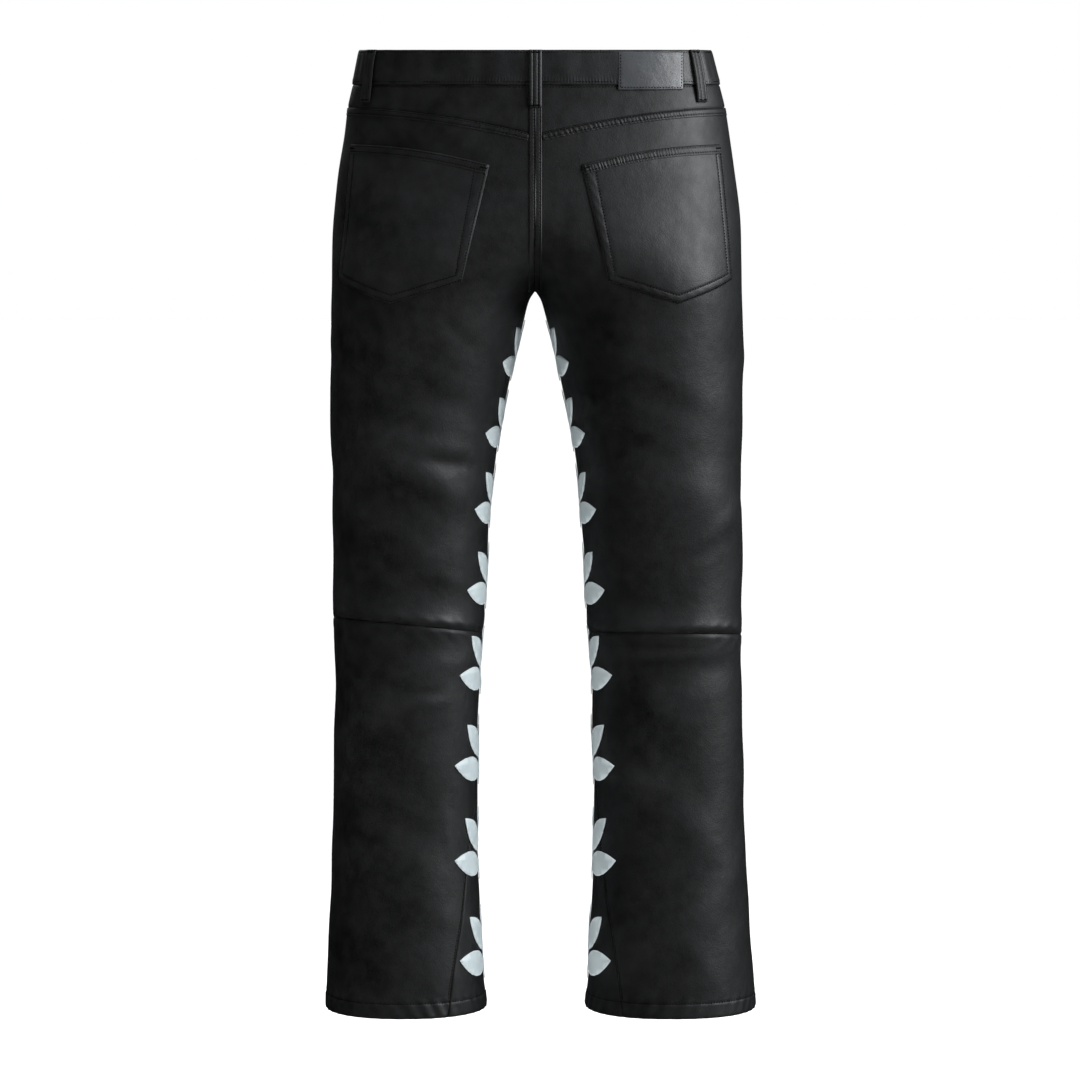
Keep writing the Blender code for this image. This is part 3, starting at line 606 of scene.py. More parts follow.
def dark_metal():
    material, tree, place = new_material("dark_metal")
    scratch = noise(tree, place, 700, 4)
    surface(tree, {
        "Base Color": mixed(tree, scratch, (0.07, 0.07, 0.075, 1), (0.17, 0.17, 0.18, 1)),
        "Roughness": ranged(tree, scratch, 0.25, 0.45),
        "Metallic": 1.0,
    })
    return material


CLOTH_FACE = waxed_cloth("waxed_cloth", (0.0024, 0.0025, 0.0026, 1), (0.0150, 0.0156, 0.0163, 1), 0.54, 0.55)
PATCH_FACE = waxed_cloth("patch_leather", (0.016, 0.0168, 0.0182, 1), (0.052, 0.055, 0.060, 1), 0.36, 0.25)
REVERSE = twill_reverse()
PALE = pale_leather()
THREAD = thread()
METAL = dark_metal()


# ---------------------------------------------------------------- making pieces
def finish_piece(name, mesh, materials, stands_for=()):
    obj = bpy.data.objects.new(name, mesh)
    bpy.context.scene.collection.objects.link(obj)
    for material in materials:
        mesh.materials.append(material)
    mesh.shade_smooth()
    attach(obj, "root")
    if stands_for:
        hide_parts(*stands_for)
    return obj


def thicken(obj, wall):
    """Gives an open surface its wall, inwards from its outer face."""
    solid = obj.modifiers.new("Wall", "SOLIDIFY")
    solid.thickness = wall
    solid.offset = -1
    solid.material_offset = len(obj.data.materials) - 1
    return obj


# how much lighter each point is drawn: wear, a lighter cut edge, and painted sheen and highlights
def store_tone_and_sheen(mesh, tone_and_sheen):
    layer = mesh.attributes.new("tone_and_sheen", "FLOAT", "POINT")
    layer.data.foreach_set("value", np.asarray(tone_and_sheen, dtype=np.float32))


def shell(name, us, vs, place, flip, wall, materials, stands_for=()):
    """A grid moved to place(u, v), which gives its points and how much lighter they are drawn, partly by wear
    and partly as painted sheen.
    """
    bm = bmesh.new()
    bmesh.ops.create_grid(bm, x_segments=len(us) - 1, y_segments=len(vs) - 1, size=0.5)
    if flip:
        bmesh.ops.reverse_faces(bm, faces=bm.faces)
    mesh = bpy.data.meshes.new(name)
    bm.to_mesh(mesh)
    bm.free()
    flat = np.empty(len(mesh.vertices) * 3, dtype=np.float32)
    mesh.vertices.foreach_get("co", flat)
    flat = flat.reshape(-1, 3)
    i = np.rint((flat[:, 0] + 0.5) * (len(us) - 1)).astype(int)
    j = np.rint((flat[:, 1] + 0.5) * (len(vs) - 1)).astype(int)
    points, tone_and_sheen = place(np.asarray(us)[i], np.asarray(vs)[j])
    mesh.vertices.foreach_set("co", points.astype(np.float32).ravel())
    store_tone_and_sheen(mesh, tone_and_sheen + np.zeros(len(points)))
    mesh.update()
    return thicken(finish_piece(name, mesh, materials, stands_for), wall)


def ridge_wear_and_sheen(side, height, angle):
    """Ridges of the cloth are drawn lighter: partly wear, partly painted sheen where they catch the light."""
    return np.clip(fold_height(side, height, angle, FOLDS + CREASES) / RIDGE_LIGHT_FULL, 0, 1) * RIDGE_LIGHT_MOST


# ---------------------------------------------------------------- panels
def cloth_panel(name, us, vs, place, flip, wall=CLOTH):
    """A shell with a coated face and a matt reverse, which covers the frame's node of its name."""
    return shell(f"{name}_cloth", us, vs, place, flip, wall, [CLOTH_FACE, REVERSE], stands_for=[name])


def hem_relief(side, height, angle):
    """The turned-up hem: double cloth below its stitching, slightly roped."""
    run = angle * mean_radius(side, height)
    doubled = HEM_DOUBLE * smooth_step((HEM_STITCH - height) / 0.0015)
    pull = groove(height, HEM_STITCH, HEM_STITCH_PULL, 0.0012)
    reach = smooth_step((HEM_STITCH + 0.010 - height) / 0.012)
    ropes = HEM_ROPE * np.sin(run * 420 + height * 260 + side) * reach
    edge = groove(height, HEM, HEM_EDGE_DIP, 0.0016)
    return doubled + pull + ropes + edge


def panel(name, side, half_of_body, low, high, columns, shares, seams):
    """A leg panel between two heights, which are functions of u. seams adds its own relief."""

    def place(u, v):
        height = low(u) + (high(u) - low(u)) * v
        outer = outseam(side, height, half_of_body)
        inner = inner_edge(side, height, half_of_body)
        angle = outer + (inner - outer) * eased(u)
        radius = mean_radius(side, height)
        relief = turned_in(np.abs(angle - outer) * radius, np.abs(inner - angle) * radius)
        relief = relief + seams(height, angle, low(u), high(u))
        points = on_cloth(side, height, angle, relief)
        points[side * points[:, 0] < 0, 0] = 0.0
        return points, ridge_wear_and_sheen(side, height, angle)

    us = np.linspace(0, 1, columns + 1)
    return cloth_panel(f"{name}_{SIDES[side]}", us, shares, place, side * half_of_body < 0)


def across_back(angle):
    """1 over most of the back of a leg, and 0 at its outseam and inseam."""
    return smooth_step(np.sin(angle) * 2.2)


def sunk_at_knee(angle, knee):
    """How far the cloth sinks beside the knee seam."""
    return groove(knee, 0, KNEE_ROLL, KNEE_SINK_WIDTH) * across_back(angle)


def make_back_upper(side):
    """A back from the knee seam, which it rolls over, to the yoke."""

    def knee_edge_low(u):
        return knee_edge(side, u)

    def seat_top(u):
        return yoke_seam(column_angle(side, YOKE_SIDE, u)) + SEAM_MEET

    def seams(height, angle, low, high):
        knee = height - low
        puckers = 0.00045 * np.sin(angle * 24 + knee * 300) * np.exp(-((knee - 0.006) / 0.007) ** 2)
        roll = groove(knee, KNEE_ROLL_AT, KNEE_ROLL, KNEE_ROLL_WIDTH) * across_back(angle)
        rolled = sunk_at_knee(angle, knee) - roll
        return turned_in(knee) + rolled + turned_in(high - height) * 0.7 + puckers

    shares = spaced((0.03, 12), (0.97, 150), (1.0, 8))
    return panel("back_upper", side, BACK, knee_edge_low, seat_top, 104, shares, seams)


def at_hem(u):
    return HEM + 0 * u


def make_back_lower(side):
    """A back from the hem to the knee seam."""

    def knee_edge_high(u):
        return knee_edge(side, u) + SEAM_MEET

    def seams(height, angle, low, high):
        knee = high - height
        puckers = 0.00035 * np.sin(angle * 21 - knee * 260 + 1.3) * np.exp(-((knee - 0.007) / 0.008) ** 2)
        return turned_in(knee) + sunk_at_knee(angle, knee) + puckers + hem_relief(side, height, angle)

    shares = spaced((0.055, 20), (0.96, 100), (1.0, 12))
    return panel("back_lower", side, BACK, at_hem, knee_edge_high, 84, shares, seams)


def make_front(side):
    """A front from waistband to hem. The left one laps over the right down to the fly's end."""

    def at_band(u):
        return BAND_BOTTOM - SEAM / 2 + 0 * u

    def seams(height, angle, low, high):
        return turned_in(high - height) + hem_relief(side, height, angle)

    shares = spaced((0.022, 18), (0.74, 170), (0.99, 90), (1.0, 4))
    front = panel("front", side, FRONT, at_hem, at_band, 92, shares, seams)
    if side == LEFT:
        for vert in front.data.vertices:
            if vert.co.y < 0 and vert.co.x <= SEAM:
                past = float(smooth_step((vert.co.z - FLY_BOTTOM - LAP_STEP) / LAP_STEP))
                vert.co.x -= (LAP + SEAM / 2) * past
    return front


def make_yoke(side):
    def place(u, v):
        angle = column_angle(side, YOKE_SIDE, u)
        low = yoke_seam(angle) + SEAM / 2
        height = low + (BAND_BOTTOM - SEAM / 2 - low) * v
        relief = turned_in(height - low, BAND_BOTTOM - height)
        points = on_cloth(side, height, angle, relief)
        points[side * points[:, 0] < 0, 0] = 0.0
        return points, ridge_wear_and_sheen(side, height, angle)

    us, vs = np.linspace(0, 1, 97), np.linspace(0, 1, 25)
    return cloth_panel(f"yoke_{SIDES[side]}", us, vs, place, side < 0)


def make_godet(side):
    """The flare's wedge, which wraps round the inseam from its point down to the hem."""

    def place(u, v):
        height = HEM + (GODET_TOP - 0.004 - HEM) * v
        turn = godet_turn(side, height) + 5 * SEAM_OVERLAP / mean_radius(side, height)
        angle = pi + (1 - 2 * u) * turn
        beside = (turn - np.abs(angle - pi)) * mean_radius(side, height)
        relief = turned_in(beside) + groove(beside, 0, 2 * SEAM, SEAM) + hem_relief(side, height, angle)
        wrapped = np.where(angle > pi, angle - tau, angle)
        return on_cloth(side, height, wrapped, relief), ridge_wear_and_sheen(side, height, wrapped)

    us, vs = np.linspace(0, 1, 57), spaced((0.08, 18), (1.0, 70))
    return cloth_panel(f"godet_{SIDES[side]}", us, vs, place, side > 0)


# ---------------------------------------------------------------- what is sewn on
def past_centre_front(across):
    """The angle from the centre front to a point this far past it."""
    half = float(ring(LEFT, np.array(0.0))[1])
    return asin((across / half) ** (FULLNESS / 2))


def make_waistband():
    """One strip round the waist. Its left end laps over its right end at the centre front."""
    start = -pi / 2 - past_centre_front(LAP)
    end = 1.5 * pi + past_centre_front(UNDERLAP)
    low = BAND_BOTTOM - BAND_OVERLAP
    turns = np.linspace(start, end, 2401)
    steps = np.linalg.norm(np.diff(on_trunk(turns, 0 * turns, 0.0), axis=0), axis=1)
    walked = np.r_[0, np.cumsum(steps)]

    def place(u, v):
        run = u * walked[-1]
        turn = np.interp(run, walked, turns)
        height = low + (BAND_TOP - low) * v
        below, above = height - low, BAND_TOP - height
        relief = groove(below, 0, BAND_EDGE_DIP, 0.0010) + groove(above, 0, 0.0009, 0.0012)
        for edge in (below, above):
            relief = relief + groove(edge, ROW_INSET, BAND_ROW_DIP, 0.0009)
        ripple = 0.00035 * np.sin(turn * 23) + 0.0003 * np.sin(turn * 41 + 1) * np.cos(height * 60)
        ticks = BAND_TICK * np.sin(tau * run / STITCH_PITCH) * np.exp(-(((below - 0.0045) / 0.0035) ** 2))
        # painted highlight: the band's right back quarter is drawn lighter, where the key light falls, over a
        # slight even lightening
        painted_highlight_right = 0.08 + 0.65 * smooth_step((turn - 0.5 * pi) / 0.5) * smooth_step((pi - turn) / 0.5)
        return on_trunk(turn, height, BAND_PROUD + relief + ripple + ticks), painted_highlight_right

    vs = spaced((0.20, 9), (0.87, 8), (1.0, 7))
    return cloth_panel("waistband", np.linspace(0, 1, 961), vs, place, False, BAND_CLOTH)


def along_waist(side, angle):
    """The direction round the ring at the waist."""
    waist, step = np.array(0.0), 0.01
    along = on_ring(side, waist, angle + step) - on_ring(side, waist, angle - step)
    return along / np.linalg.norm(along)


def loop_lift(share):
    """How far a belt loop's outer face is off the cloth, from its foot (0) to its top (1)."""
    return LOOP_CLEAR + BAND_PROUD * share + LOOP_BULGE * np.sin(pi * share) ** LOOP_ARCH + LOOP_CLOTH


def make_belt_loop(loop):
    """A strip that arches over the waistband: three lengthwise ridges between its two stitchings."""
    foot_angle = radians(loop.angle)
    along = loop.side * along_waist(loop.side, foot_angle)

    def place(u, v):
        height = loop.foot + (BAND_TOP - loop.foot) * v
        angle = foot_angle + radians(loop.lean) * v
        across = (u - 0.5) * LOOP_WIDTH
        ridges = groove(np.abs(across), 0.0026, 0.0007, 0.0008)
        ridges = ridges + groove(LOOP_WIDTH / 2 - np.abs(across), 0, 0.0012, 0.0009)
        puckers = 0.00012 * np.sin(height * 1900 + across * 500)
        point = on_cloth(loop.side, height, angle, loop_lift(v) + ridges + puckers)
        # raised ridges of the loop are drawn lighter: partly wear, partly painted sheen
        return point + along * across[:, None], 0.15 + 200 * np.clip(ridges + 0.0004, 0, None)

    us, vs = np.linspace(0, 1, 29), np.linspace(0, 1, 61)
    name = loop.name
    return shell(f"{name}_cloth", us, vs, place, False, LOOP_CLOTH, [CLOTH_FACE], stands_for=[name])


def pocket_edges(t):
    """The lowest and highest of a back pocket, from its inner side (0) to its outer side (1)."""
    high = POCKET_INNER_TOP.height + (POCKET_OUTER_TOP.height - POCKET_INNER_TOP.height) * t
    high = high + POCKET_TOP_CROWN * np.sin(pi * t)
    before = t <= POCKET_POINT_AT
    corner = np.where(before, POCKET_INNER_BOTTOM.height, POCKET_OUTER_BOTTOM.height)
    share = np.where(before, t / POCKET_POINT_AT, (1 - t) / (1 - POCKET_POINT_AT))
    return corner + (POCKET_POINT_HEIGHT - corner) * share, high


def across_at(top, bottom, height):
    return top.across + (bottom.across - top.across) * (height - top.height) / (bottom.height - top.height)


def on_pocket(side, t, height, lift=0.0):
    """A point over a back pocket's face, at even steps of t round the leg, and the pocket's width there."""
    t, height = np.broadcast_arrays(t, height)
    inner = angle_at_x(side, height, across_at(POCKET_INNER_TOP, POCKET_INNER_BOTTOM, height), BACK)
    outer = angle_at_x(side, height, across_at(POCKET_OUTER_TOP, POCKET_OUTER_BOTTOM, height), BACK)
    shares = np.linspace(0, 1, 33)
    fan = on_ring(side, height, inner + (outer - inner) * shares.reshape(-1, *(1,) * t.ndim))
    walked = np.cumsum(np.linalg.norm(np.diff(fan, axis=0, prepend=fan[:1]), axis=-1), axis=0)
    width = walked[-1]
    walked = (walked / width).reshape(len(shares), -1)
    even = np.array([np.interp(at, column, shares) for at, column in zip(t.ravel(), walked.T)])
    angle = inner + (outer - inner) * even.reshape(t.shape)
    return on_cloth(side, height, angle, POCKET_CLEAR + CLOTH + lift), width


def inner_rim(v):
    """How many times wider the turned edge is on the pocket's inner side, from its foot (0) to its top."""
    return 1 + 0.6 * v


def make_pocket(side):
    """A patch pocket: turned edges under two rows of stitching, and a hemmed top."""

    def place(u, v):
        t = 1 - u
        low, high = pocket_edges(t)
        height = low + (high - low) * v
        width = on_pocket(side, t, height)[1]
        rim = np.minimum(np.minimum(t / inner_rim(v), 1 - t) * width, (height - low) * POCKET_SLANT)
        top = high - height
        relief = groove(rim, 0, 0.0012, 0.0009)
        for row in POCKET_ROWS_IN:
            relief = relief + groove(rim, row, 0.0005, 0.0013) * smooth_step((top - 0.002) / 0.002)
        relief = relief + groove(top, 0, 0.0010, 0.0010)
        run = (t * width) * 520 + (height - low) * 380
        relief = relief + 0.00012 * np.sin(run) * np.exp(-((rim - 0.005) / 0.004) ** 2)
        sag = 0.0010 * np.sin(pi * np.clip(t, 0, 1)) * np.sin(pi * np.clip(v, 0, 1))
        # painted sheen: the whole pocket face is drawn lighter than the leg, and its raised rims lighter
        # still, partly as wear
        return on_pocket(side, t, height, relief + sag)[0], 0.24 + 120 * np.clip(relief, 0, None)

    us = spaced((0.068, 20), (0.932, 56), (1.0, 20))
    vs = spaced((0.085, 22), (0.88, 50), (1.0, 18))
    name = f"pocket_back_{SIDES[side]}"
    return shell(f"{name}_cloth", us, vs, place, side < 0, CLOTH, [CLOTH_FACE], stands_for=[name])


def puckered(across, along, width, rows, pitch, depth, lean):
    """The relief of a doubled band: rounded edges, a groove at each stitching, slanted puckers."""
    edge = np.minimum(across, width - across)
    relief = FELL_RISE * smooth_step(edge / 0.0011) - FELL_SUNK + groove(edge, 0, 0.0005, 0.0006)
    for row in rows:
        relief = relief + groove(across, row, 0.0004, 0.0007)
    uneven = along + 0.00045 * np.sin(along * 610) + 0.00030 * np.sin(along * 1370 + 2)
    wave = np.sin(tau * (uneven / pitch + lean * (across / width - 0.5)))
    between = np.exp(-(((across - width * 0.5) / (width * 0.42)) ** 4))
    return relief + depth * (0.8 + 0.3 * np.sin(along * 330 + 1)) * wave * between


def yoke_run(side, s, drop):
    """Angle and height along the yoke seam, from the centre back (0) to the outseam (1)."""
    flat = YOKE_SIDE + 0 * s
    inner, outer = inner_edge(side, flat, BACK), outseam(side, flat, BACK)
    angle = inner + (outer - inner) * s
    return angle, yoke_seam(angle) - drop


def make_yoke_fell(side):
    """The felled yoke seam: a doubled band below the seam, puckered most near the centre back."""

    def place(u, v):
        s, across = 1 - u, (1 - v) * FELL_WIDTH
        angle, height = yoke_run(side, s, across - FELL_START)
        along = s * YOKE_LENGTH
        depth = PUCKERS[side] * (0.22 + 0.78 * np.exp(-((s / 0.32) ** 2)))
        relief = puckered(across, along, FELL_WIDTH, FELL_ROWS, STITCH_PITCH * 1.04, depth, -0.9)
        # raised parts of the band are drawn lighter: partly wear, partly painted sheen
        return on_cloth(side, height, angle, relief), 0.05 + 200 * np.clip(relief - 0.0005, 0, None)

    us, vs = np.linspace(0.0, 0.985, 361), np.linspace(0, 1, 17)
    return shell(f"yoke_fell_{SIDES[side]}", us, vs, place, side < 0, FELL_CLOTH, [CLOTH_FACE])


def make_seat_fell():
    """The felled centre back seam, with its two stitchings nearer its right edge."""

    def place(u, v):
        across = u * 2 * SEAT_HALF
        height = SEAT_FOOT + (BAND_BOTTOM - 0.001 - SEAT_FOOT) * v
        relief = puckered(across, height, 2 * SEAT_HALF, SEAT_ROWS, STITCH_PITCH, 0.00010, 0.4)
        points = on_body(off_centre(SEAT_HALF - across), height, BACK, relief + SEAT_LIFT)
        # raised parts of the band are drawn lighter: partly wear, partly painted sheen
        return points, 0.08 + 120 * np.clip(relief - 0.0003, 0, None)

    us, vs = np.linspace(0, 1, 31), np.linspace(0, 1, 281)
    return shell("seat_fell", us, vs, place, False, FELL_CLOTH, [CLOTH_FACE])


def make_pocket_hem(side):
    """The pocket's hemmed top edge, puckered between its two stitchings."""

    def place(u, v):
        t, across = 0.012 + 0.976 * (1 - u), (1 - v) * POCKET_HEM
        height = pocket_edges(t)[1] - across - 0.0002
        depth = PUCKERS[side] * (0.22 + 0.48 * np.exp(-(((t - 0.12) / 0.30) ** 2)))
        along = t * POCKET_TOP_WIDTH
        relief = puckered(across, along, POCKET_HEM, POCKET_TOP_ROWS, STITCH_PITCH, depth, -0.5)
        # raised parts of the hem are drawn lighter: partly wear, partly painted sheen
        return on_pocket(side, t, height, relief)[0], 0.16 + 200 * np.clip(relief - 0.0005, 0, None)

    us, vs = np.linspace(0, 1, 261), np.linspace(0, 1, 17)
    return shell(f"pocket_hem_{SIDES[side]}", us, vs, place, side < 0, FELL_CLOTH, [CLOTH_FACE])


def patch_point(across, height, lift):
    """A point over the patch's slightly uneven face."""
    uneven = 0.0005 * np.sin(across * 71 - 5.7) * np.cos(height * 54 + 1.3)
    face = BAND_PROUD + PATCH_CLEAR + PATCH_CLOTH + uneven
    return on_cloth(RIGHT, height, angle_at_x(RIGHT, height, across, BACK), face + lift)


def make_patch():
    """The bare leather patch over the waistband."""
    inner, outer = PATCH_INNER_TOP, PATCH_OUTER_BOTTOM

    def place(u, v):
        across = inner.across + (outer.across - inner.across) * u
        height = outer.height + (inner.height - outer.height) * v
        side_gap = np.minimum(across - inner.across, outer.across - across)
        edge = np.minimum(side_gap, np.minimum(height - outer.height, inner.height - height))
        relief = groove(edge, 0, 0.0006, 0.0008) + groove(edge, PATCH_ROW, 0.00022, 0.0007)
        # painted highlight: the patch is drawn lighter towards its inner top corner and darker towards its
        # outer top corner
        return patch_point(across, height, relief), 0.35 + 0.3 * np.sin(u * 4 + 0.4) * v

    us, vs = spaced((0.08, 9), (0.92, 30), (1.0, 9)), spaced((0.12, 9), (0.88, 16), (1.0, 9))
    return shell("patch_leather", us, vs, place, False, PATCH_CLOTH, [PATCH_FACE], ["patch"])


# The button's profile, from the middle of its top down the outer side to the neck's foot
Turned = namedtuple("Turned", "radius height")
BUTTON_PROFILE = [
    Turned(0.0, 0.0029),
    Turned(0.0022, 0.00285),
    Turned(0.0040, 0.0026),
    Turned(0.0052, 0.0024),
    Turned(0.0060, 0.0024),
    Turned(0.0065, 0.0029),
    Turned(0.0070, 0.0032),
    Turned(0.0077, 0.0033),
    Turned(0.0083, 0.0030),
    Turned(0.0085, 0.0025),
    Turned(0.0084, 0.0018),
    Turned(0.0076, 0.0010),
    Turned(0.0046, 0.0010),
    Turned(0.0045, 0.0),
    Turned(0.0, 0.0),
]


def make_button():
    bm = bmesh.new()
    verts = [bm.verts.new((turned.radius, 0, turned.height)) for turned in BUTTON_PROFILE]
    edges = [bm.edges.new(pair) for pair in zip(verts, verts[1:])]
    around = {"cent": (0, 0, 0), "axis": (0, 0, 1), "angle": tau, "steps": 48}
    bmesh.ops.spin(bm, geom=verts + edges, use_merge=True, **around)
    bmesh.ops.remove_doubles(bm, verts=bm.verts, dist=0.00001)
    bmesh.ops.recalc_face_normals(bm, faces=bm.faces)
    height = np.array([0.0])
    angle = angle_at_x(LEFT, height, BUTTON_X, FRONT)
    place = Vector(on_cloth(LEFT, height, angle, BAND_PROUD + SEAM)[0])
    facing = Vector(outward(LEFT, height, angle)[0]).to_track_quat("Z", "Y").to_matrix().to_4x4()
    bmesh.ops.transform(bm, matrix=Matrix.Translation(place) @ facing, verts=bm.verts)
    mesh = bpy.data.meshes.new("waist_button")
    bm.to_mesh(mesh)
    bm.free()
    return finish_piece("waist_button", mesh, [METAL], ["button"])


# ---------------------------------------------------------------- leaf sprigs
LEAF_SHARES = (0.05, 0.13, 0.24, 0.36, 0.5, 0.64, 0.77, 0.88, 0.95)


def leaf_edge(leaf, shares, edge):
    """Points along a leaf's lower edge (1) or upper edge (-1), which bows out half way along."""
    turn = radians(leaf.turn)
    along = Vector((sin(turn), cos(turn), 0)) * leaf.length
    across = Vector((cos(turn), -sin(turn), 0)) * leaf.width * edge
    root = Vector((0, leaf.root, 0))
    points = [root + along * share + across * 2 * share * (1 - share) for share in shares]
    return [Vector((max(point.x, STALK_HALF), point.y, 0)) for point in points]


def sprig_outline():
    """The outline from the stalk's foot up the right side, and down the left side again."""
    half = [Vector((STALK_HALF, STALK_FOOT, 0))]
    for leaf in SIDE_LEAVES:
        half.append(Vector((STALK_HALF, leaf.root - STALK_HALF * 1.6, 0)))
        half += leaf_edge(leaf, LEAF_SHARES[1:] + (1.0,), 1)
        half += leaf_edge(leaf, LEAF_SHARES[:1:-1], -1)
        half.append(Vector((STALK_HALF, leaf.root + STALK_HALF * 2.4, 0)))
    half += leaf_edge(TOP_LEAF, LEAF_SHARES[1:-1], 1)
    tip = Vector((0, TOP_LEAF.root + TOP_LEAF.length, 0))
    return half + [tip] + [Vector((-point.x, point.y, 0)) for point in reversed(half)]


def sprig_place(number):
    """A sprig's size, and the height where its stalk begins."""
    size = SPRIG_FIRST_SIZE + SPRIG_SIZE_GROWTH * number
    steps = SPRIG_FIRST_STEP * number + SPRIG_STEP_GROWTH * number * (number - 1) / 2
    return size, SPRIG_TOP - steps


def make_sprig(side, number):
    """A flat outline of leaves with a rounded rim and creased midribs, laid round the inseam."""
    size, base = sprig_place(number)
    outline = sprig_outline()
    bm = bmesh.new()
    bmesh.ops.create_circle(bm, cap_ends=True, segments=len(outline), radius=1)
    order = sorted(bm.verts, key=lambda vert: np.arctan2(vert.co.y, vert.co.x))
    for vert, point in zip(order, outline):
        vert.co = point * size
    bmesh.ops.inset_region(bm, faces=bm.faces[:], thickness=SPRIG_RIM, use_even_offset=True)
    ribs = [(leaf.root, edge * leaf.turn) for leaf in SIDE_LEAVES for edge in (1, -1)] + [(0, 0)]
    cuts = [(Vector((0, root * size, 0)), Vector((cos(radians(t)), -sin(radians(t)), 0))) for root, t in ribs]
    cuts += [(Vector((i * 0.006, 0, 0)), Vector((1, 0, 0))) for i in range(-12, 13) if i]
    cuts += [(Vector((0, i * 0.008, 0)), Vector((0, 1, 0))) for i in range(-1, 10)]
    for middle, normal in cuts:
        geometry = bm.verts[:] + bm.edges[:] + bm.faces[:]
        bmesh.ops.bisect_plane(bm, geom=geometry, dist=0.00002, plane_co=middle, plane_no=normal)
    bmesh.ops.triangulate(bm, faces=bm.faces)
    rim = np.array([float(vert.is_boundary) for vert in bm.verts])
    flat = np.array([vert.co[:] for vert in bm.verts])
    creased = np.zeros(len(flat))
    for middle, normal in cuts[: len(ribs)]:
        along = np.cross([0, 0, 1], normal[:])
        off = np.abs((flat - middle[:]) @ np.array(normal[:]))
        reach = (flat - middle[:]) @ along
        past_stalk = (np.abs(flat[:, 0]) > 0.003) | (np.abs(normal.y) < 1e-6)
        on_rib = (off < 0.0002) & past_stalk & (np.abs(reach) > 0.004)
        creased = np.maximum(creased, on_rib & (rim == 0))
    radius = float(mean_radius(side, np.array(base)))
    angle = pi - flat[:, 0] / radius
    angle = np.where(angle > pi, angle - tau, angle)
    lift = SPRIG_CLEAR + SPRIG_CLOTH - SPRIG_RIM_DIP * rim - SPRIG_RIB_DIP * creased
    points = on_cloth(side, base + flat[:, 1], angle, lift)
    if side > 0:
        bmesh.ops.reverse_faces(bm, faces=bm.faces)
    name = f"sprig_{SIDES[side]}_{number + 1}"
    mesh = bpy.data.meshes.new(f"{name}_leather")
    bm.to_mesh(mesh)
    bm.free()
    mesh.vertices.foreach_set("co", points.astype(np.float32).ravel())
    store_tone_and_sheen(mesh, rim * 0.9)
    mesh.update()
    piece = finish_piece(f"{name}_leather", mesh, [PALE], [name])
    return thicken(piece, SPRIG_CLOTH)


# ---------------------------------------------------------------- stitching
def stitch(bm, here, ahead, out, size):
    """One stitch: a small rounded bead that lies along the seam."""
    x = (ahead - here).normalized()
    y = out.cross(x).normalized()
    z = x.cross(y)
    turned = Matrix((x, y, z)).transposed().to_4x4()
    placed = Matrix.Translation(here) @ turned @ Matrix.Diagonal((*size, 1.0))
    bmesh.ops.create_icosphere(bm, subdivisions=1, radius=1, matrix=placed)


def sew(name, paths, pitch=STITCH_PITCH, size=STITCH_SIZE):
    """Rows of stitches in one piece. A path gives points for places 0 to 1 and a lift."""
    pieces = []
    for path in paths:
        bm = bmesh.new()
        places = np.linspace(0, 1, 800)
        walked = np.r_[0, np.cumsum(np.linalg.norm(np.diff(path(places, 0.0), axis=0), axis=1))]
        count = max(int(walked[-1] / pitch), 1)
        at = np.interp((np.arange(count) + 0.5) * walked[-1] / count, walked, places)
        here, above = path(at, 0.0), path(at, 0.001)
        ahead = path(np.minimum(at + 0.0008, 1.0), 0.0) - path(np.maximum(at - 0.0008, 0.0), 0.0)
        for i in range(count):
            start, out = Vector(here[i]), Vector(above[i] - here[i])
            stitch(bm, start, start + Vector(ahead[i]), out, size)
        mesh = bpy.data.meshes.new(name)
        bm.to_mesh(mesh)
        bm.free()
        pieces.append(mesh)
    bm = bmesh.new()
    for mesh in pieces:
        bm.from_mesh(mesh)
        bpy.data.meshes.remove(mesh)
    mesh = bpy.data.meshes.new(name)
    bm.to_mesh(mesh)
    bm.free()
    return finish_piece(name, mesh, [THREAD])


def through(*knots):
    """Straight runs through knots, as a function of 0 to 1 that gives each of their values."""
    columns = np.array(knots, dtype=float).T
    marks = np.linspace(0, 1, len(knots))
    return lambda s: [np.interp(s, marks, column) for column in columns]


def godet_row(side, half_of_body):
    """A row on a panel beside its seam with the godet, from near the godet's point to the hem."""
    top, bottom = GODET_TOP + 0.004, HEM + 0.020

    def path(s, above):
        height = top + (bottom - top) * s
        inset = half_of_body * ROW_INSET / mean_radius(side, height)
        angle = inner_edge(side, height, half_of_body) - inset
        return on_cloth(side, height, angle, STITCH_SIT + above)

    return path


def sew_all():
    lift = FELL_RISE - FELL_SUNK - 0.0002
    for side in (LEFT, RIGHT):
        rows = []
        for row in FELL_ROWS:
            def yoke(s, above, row=row):
                angle, height = yoke_run(side, 0.012 + 0.97 * s, row - FELL_START)
                return on_cloth(side, height, angle, lift + above)
            rows.append(yoke)
        sew(f"stitches_yoke_{SIDES[side]}", rows)
        sew_pocket(side)
        sew_leg(side)
    rows = []
    top, bottom = BAND_BOTTOM - 0.026, SEAT_FOOT + 0.002
    for row in SEAT_ROWS:
        def seat(s, above, row=row):
            height = top + (bottom - top) * s
            return on_body(SEAT_HALF - row, height, BACK, SEAT_LIFT + lift + above)
        rows.append(seat)
    sew("stitches_seat", rows)
    sew_waistband()
    sew_fly()
    sew_tacks()
    sew_patch()


